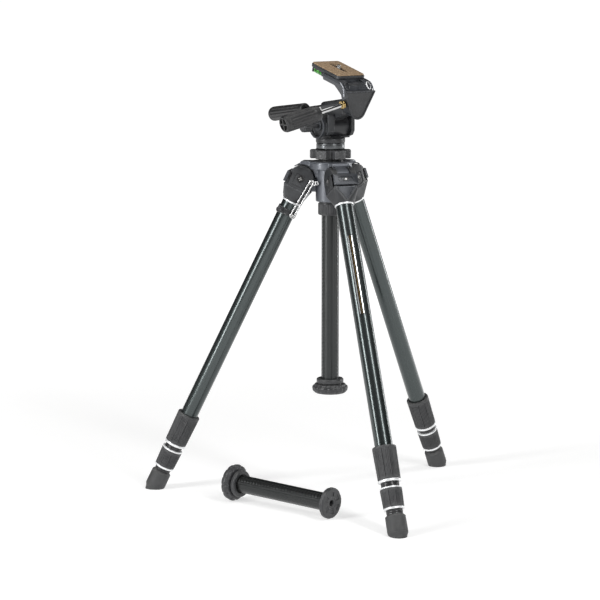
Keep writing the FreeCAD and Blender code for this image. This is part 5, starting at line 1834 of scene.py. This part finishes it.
@dataclass
class Studio:
    """Camera, pale floor, soft lights and a pale surround; lengths in metres."""

    column: Array
    camera_at: tuple[float, float, float] = (-1.3699, -3.6195, 0.9004)    # from the column's foot
    heading: float = 20.0          # degrees from the front leg's plane
    dip: float = 8.44              # degrees below level
    lens: float = 143.5            # millimetres, on a sensor 36 wide
    glow: float = 0.60             # the lit paper's own light near the object; it grows to one far away
    glow_reach: tuple[float, float] = (0.5, 2.6)
    dim: float = 0.22              # the surround's level above eye height
    overhead: float = 2.9          # what it gains straight above
    aim: tuple[float, float, float] = (0.0, 0.05, 0.4)
    floor_radius: float = 200.0
    lights: tuple[Softbox, ...] = (
        Softbox("left_strip", (-2.5, -0.4, 1.5), (0.45, 2.8), 62.0),
        Softbox("front_strip", (0.55, -2.4, 2.0), (0.40, 2.6), 50.0),
        Softbox("right_strip", (2.4, 0.6, 1.2), (0.30, 2.2), 22.0),
        Softbox("top_box", (0.0, 0.2, 3.0), (2.0, 2.0), 16.0),
    )

    def build(self) -> None:
        """Makes the camera, the surround, the floor and the lights."""
        self.camera()
        self.surround()
        self.floor()
        for light in self.lights:
            light.build(Vector(self.aim))

    def camera(self) -> None:
        """Places the camera by its heading and dip."""
        heading, dip = math.radians(self.heading), math.radians(self.dip)
        ahead = Vector((math.sin(heading) * math.cos(dip), math.cos(heading) * math.cos(dip), -math.sin(dip)))
        data = bpy.data.cameras.new("camera")
        data.lens, data.sensor_width, data.clip_end = self.lens, 36.0, 100.0
        camera = bpy.data.objects.new("camera", data)
        camera.location = self.column + np.array(self.camera_at)
        camera.rotation_mode = "QUATERNION"
        camera.rotation_quaternion = ahead.to_track_quat("-Z", "Y")
        bpy.context.scene.collection.objects.link(camera)
        bpy.context.scene.camera = camera

    def surround(self) -> None:
        """A pale surround: white at eye level, dim above it, and brightest overhead."""
        world = bpy.data.worlds.new("surround")
        world.use_nodes = True
        nodes = Nodes(world.node_tree)
        height = nodes.add("SeparateXYZ", {0: nodes.add("TexCoord").outputs["Generated"]}).outputs[2]
        low = nodes.step(height, 0.06, 0.16, 1.05, self.dim)
        level = nodes.math("ADD", low, nodes.step(height, 0.45, 1.0, 0.0, self.overhead))
        world.node_tree.links.new(level, world.node_tree.nodes["Background"].inputs[1])
        bpy.context.scene.world = world
        bpy.context.scene.view_settings.view_transform = "Standard"

    def floor(self) -> None:
        """A round pale floor, as a polar grid: (r·cos a, r·sin a, 0)."""
        radius = np.append(0.0, np.geomspace(0.5, self.floor_radius, 12))
        points = lathe(np.stack([radius, 0 * radius], axis=1), 64)
        rows, columns = points.shape[:2]
        index = np.arange(rows * columns).reshape(rows, columns)
        quads = np.stack([index[:-1, :-1], index[1:, :-1], index[1:, 1:], index[:-1, 1:]],
                         axis=-1).reshape(-1, 4)
        mesh = bpy.data.meshes.new("floor")
        mesh.from_pydata(points.reshape(-1, 3).tolist(), [], quads.tolist())
        paper = bpy.data.materials.new("floor_paper")
        paper.use_nodes = True
        nodes = Nodes(paper.node_tree)
        shader = paper.node_tree.nodes["Principled BSDF"]
        shader.inputs["Roughness"].default_value = 0.9
        place = nodes.add("TexCoord").outputs["Object"]
        cloud = nodes.noise(place, 3.0)
        paper.node_tree.links.new(nodes.blend(cloud, (0.49, 0.49, 0.49, 1), (0.51, 0.51, 0.505, 1)),
                                  shader.inputs["Base Color"])
        away = nodes.add("VectorMath", {0: place, 1: tuple(float(value) for value in self.column)},
                         operation="DISTANCE").outputs["Value"]
        glow = nodes.step(away, *self.glow_reach, self.glow, 1.0)
        paper.node_tree.links.new(nodes.blend(glow, (0, 0, 0, 1), (1, 1, 1, 1)),
                                  shader.inputs["Emission Color"])
        shader.inputs["Emission Strength"].default_value = 1.0
        mesh.materials.append(paper)
        ground = bpy.data.objects.new("floor", mesh)
        bpy.context.scene.collection.objects.link(ground)


def main() -> None:
    """Builds the tripod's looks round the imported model."""
    logging.basicConfig(level=logging.INFO, format="%(name)s: %(message)s")
    packed = PackedFrame(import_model())
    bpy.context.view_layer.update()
    Studio(packed.anchor("column_lock_turn") * (1, 1, 0)).build()
    shop, paint = Workshop(packed), Palette()
    legs = [Leg(shop, paint, name) for name in ("front", "right", "left")]
    for leg in legs:
        leg.build()
    StrapLink(legs[2]).build()
    shoulder = Shoulder(shop, paint, legs)
    shoulder.build()
    CentreColumn(shop, paint, shoulder.place, "centre_column", "column_foot", "column_flange",
                 "column").build()
    foot_at = np.mean([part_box("spare_column_foot")[0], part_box("spare_column_foot")[1]], axis=0)
    flange_at = np.mean([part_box("spare_column_flange")[0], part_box("spare_column_flange")[1]], axis=0)
    lying = Placement.from_axes(foot_at, (0, 0, 1), flange_at - foot_at)
    SpareColumn(shop, paint, lying, "spare_column_tube", "spare_column_foot", "spare_column_flange", "spare",
                bands=(35.0, 155.0, -85.0)).build()
    Head(shop, paint).build()


if __name__ == "__main__":
    main()
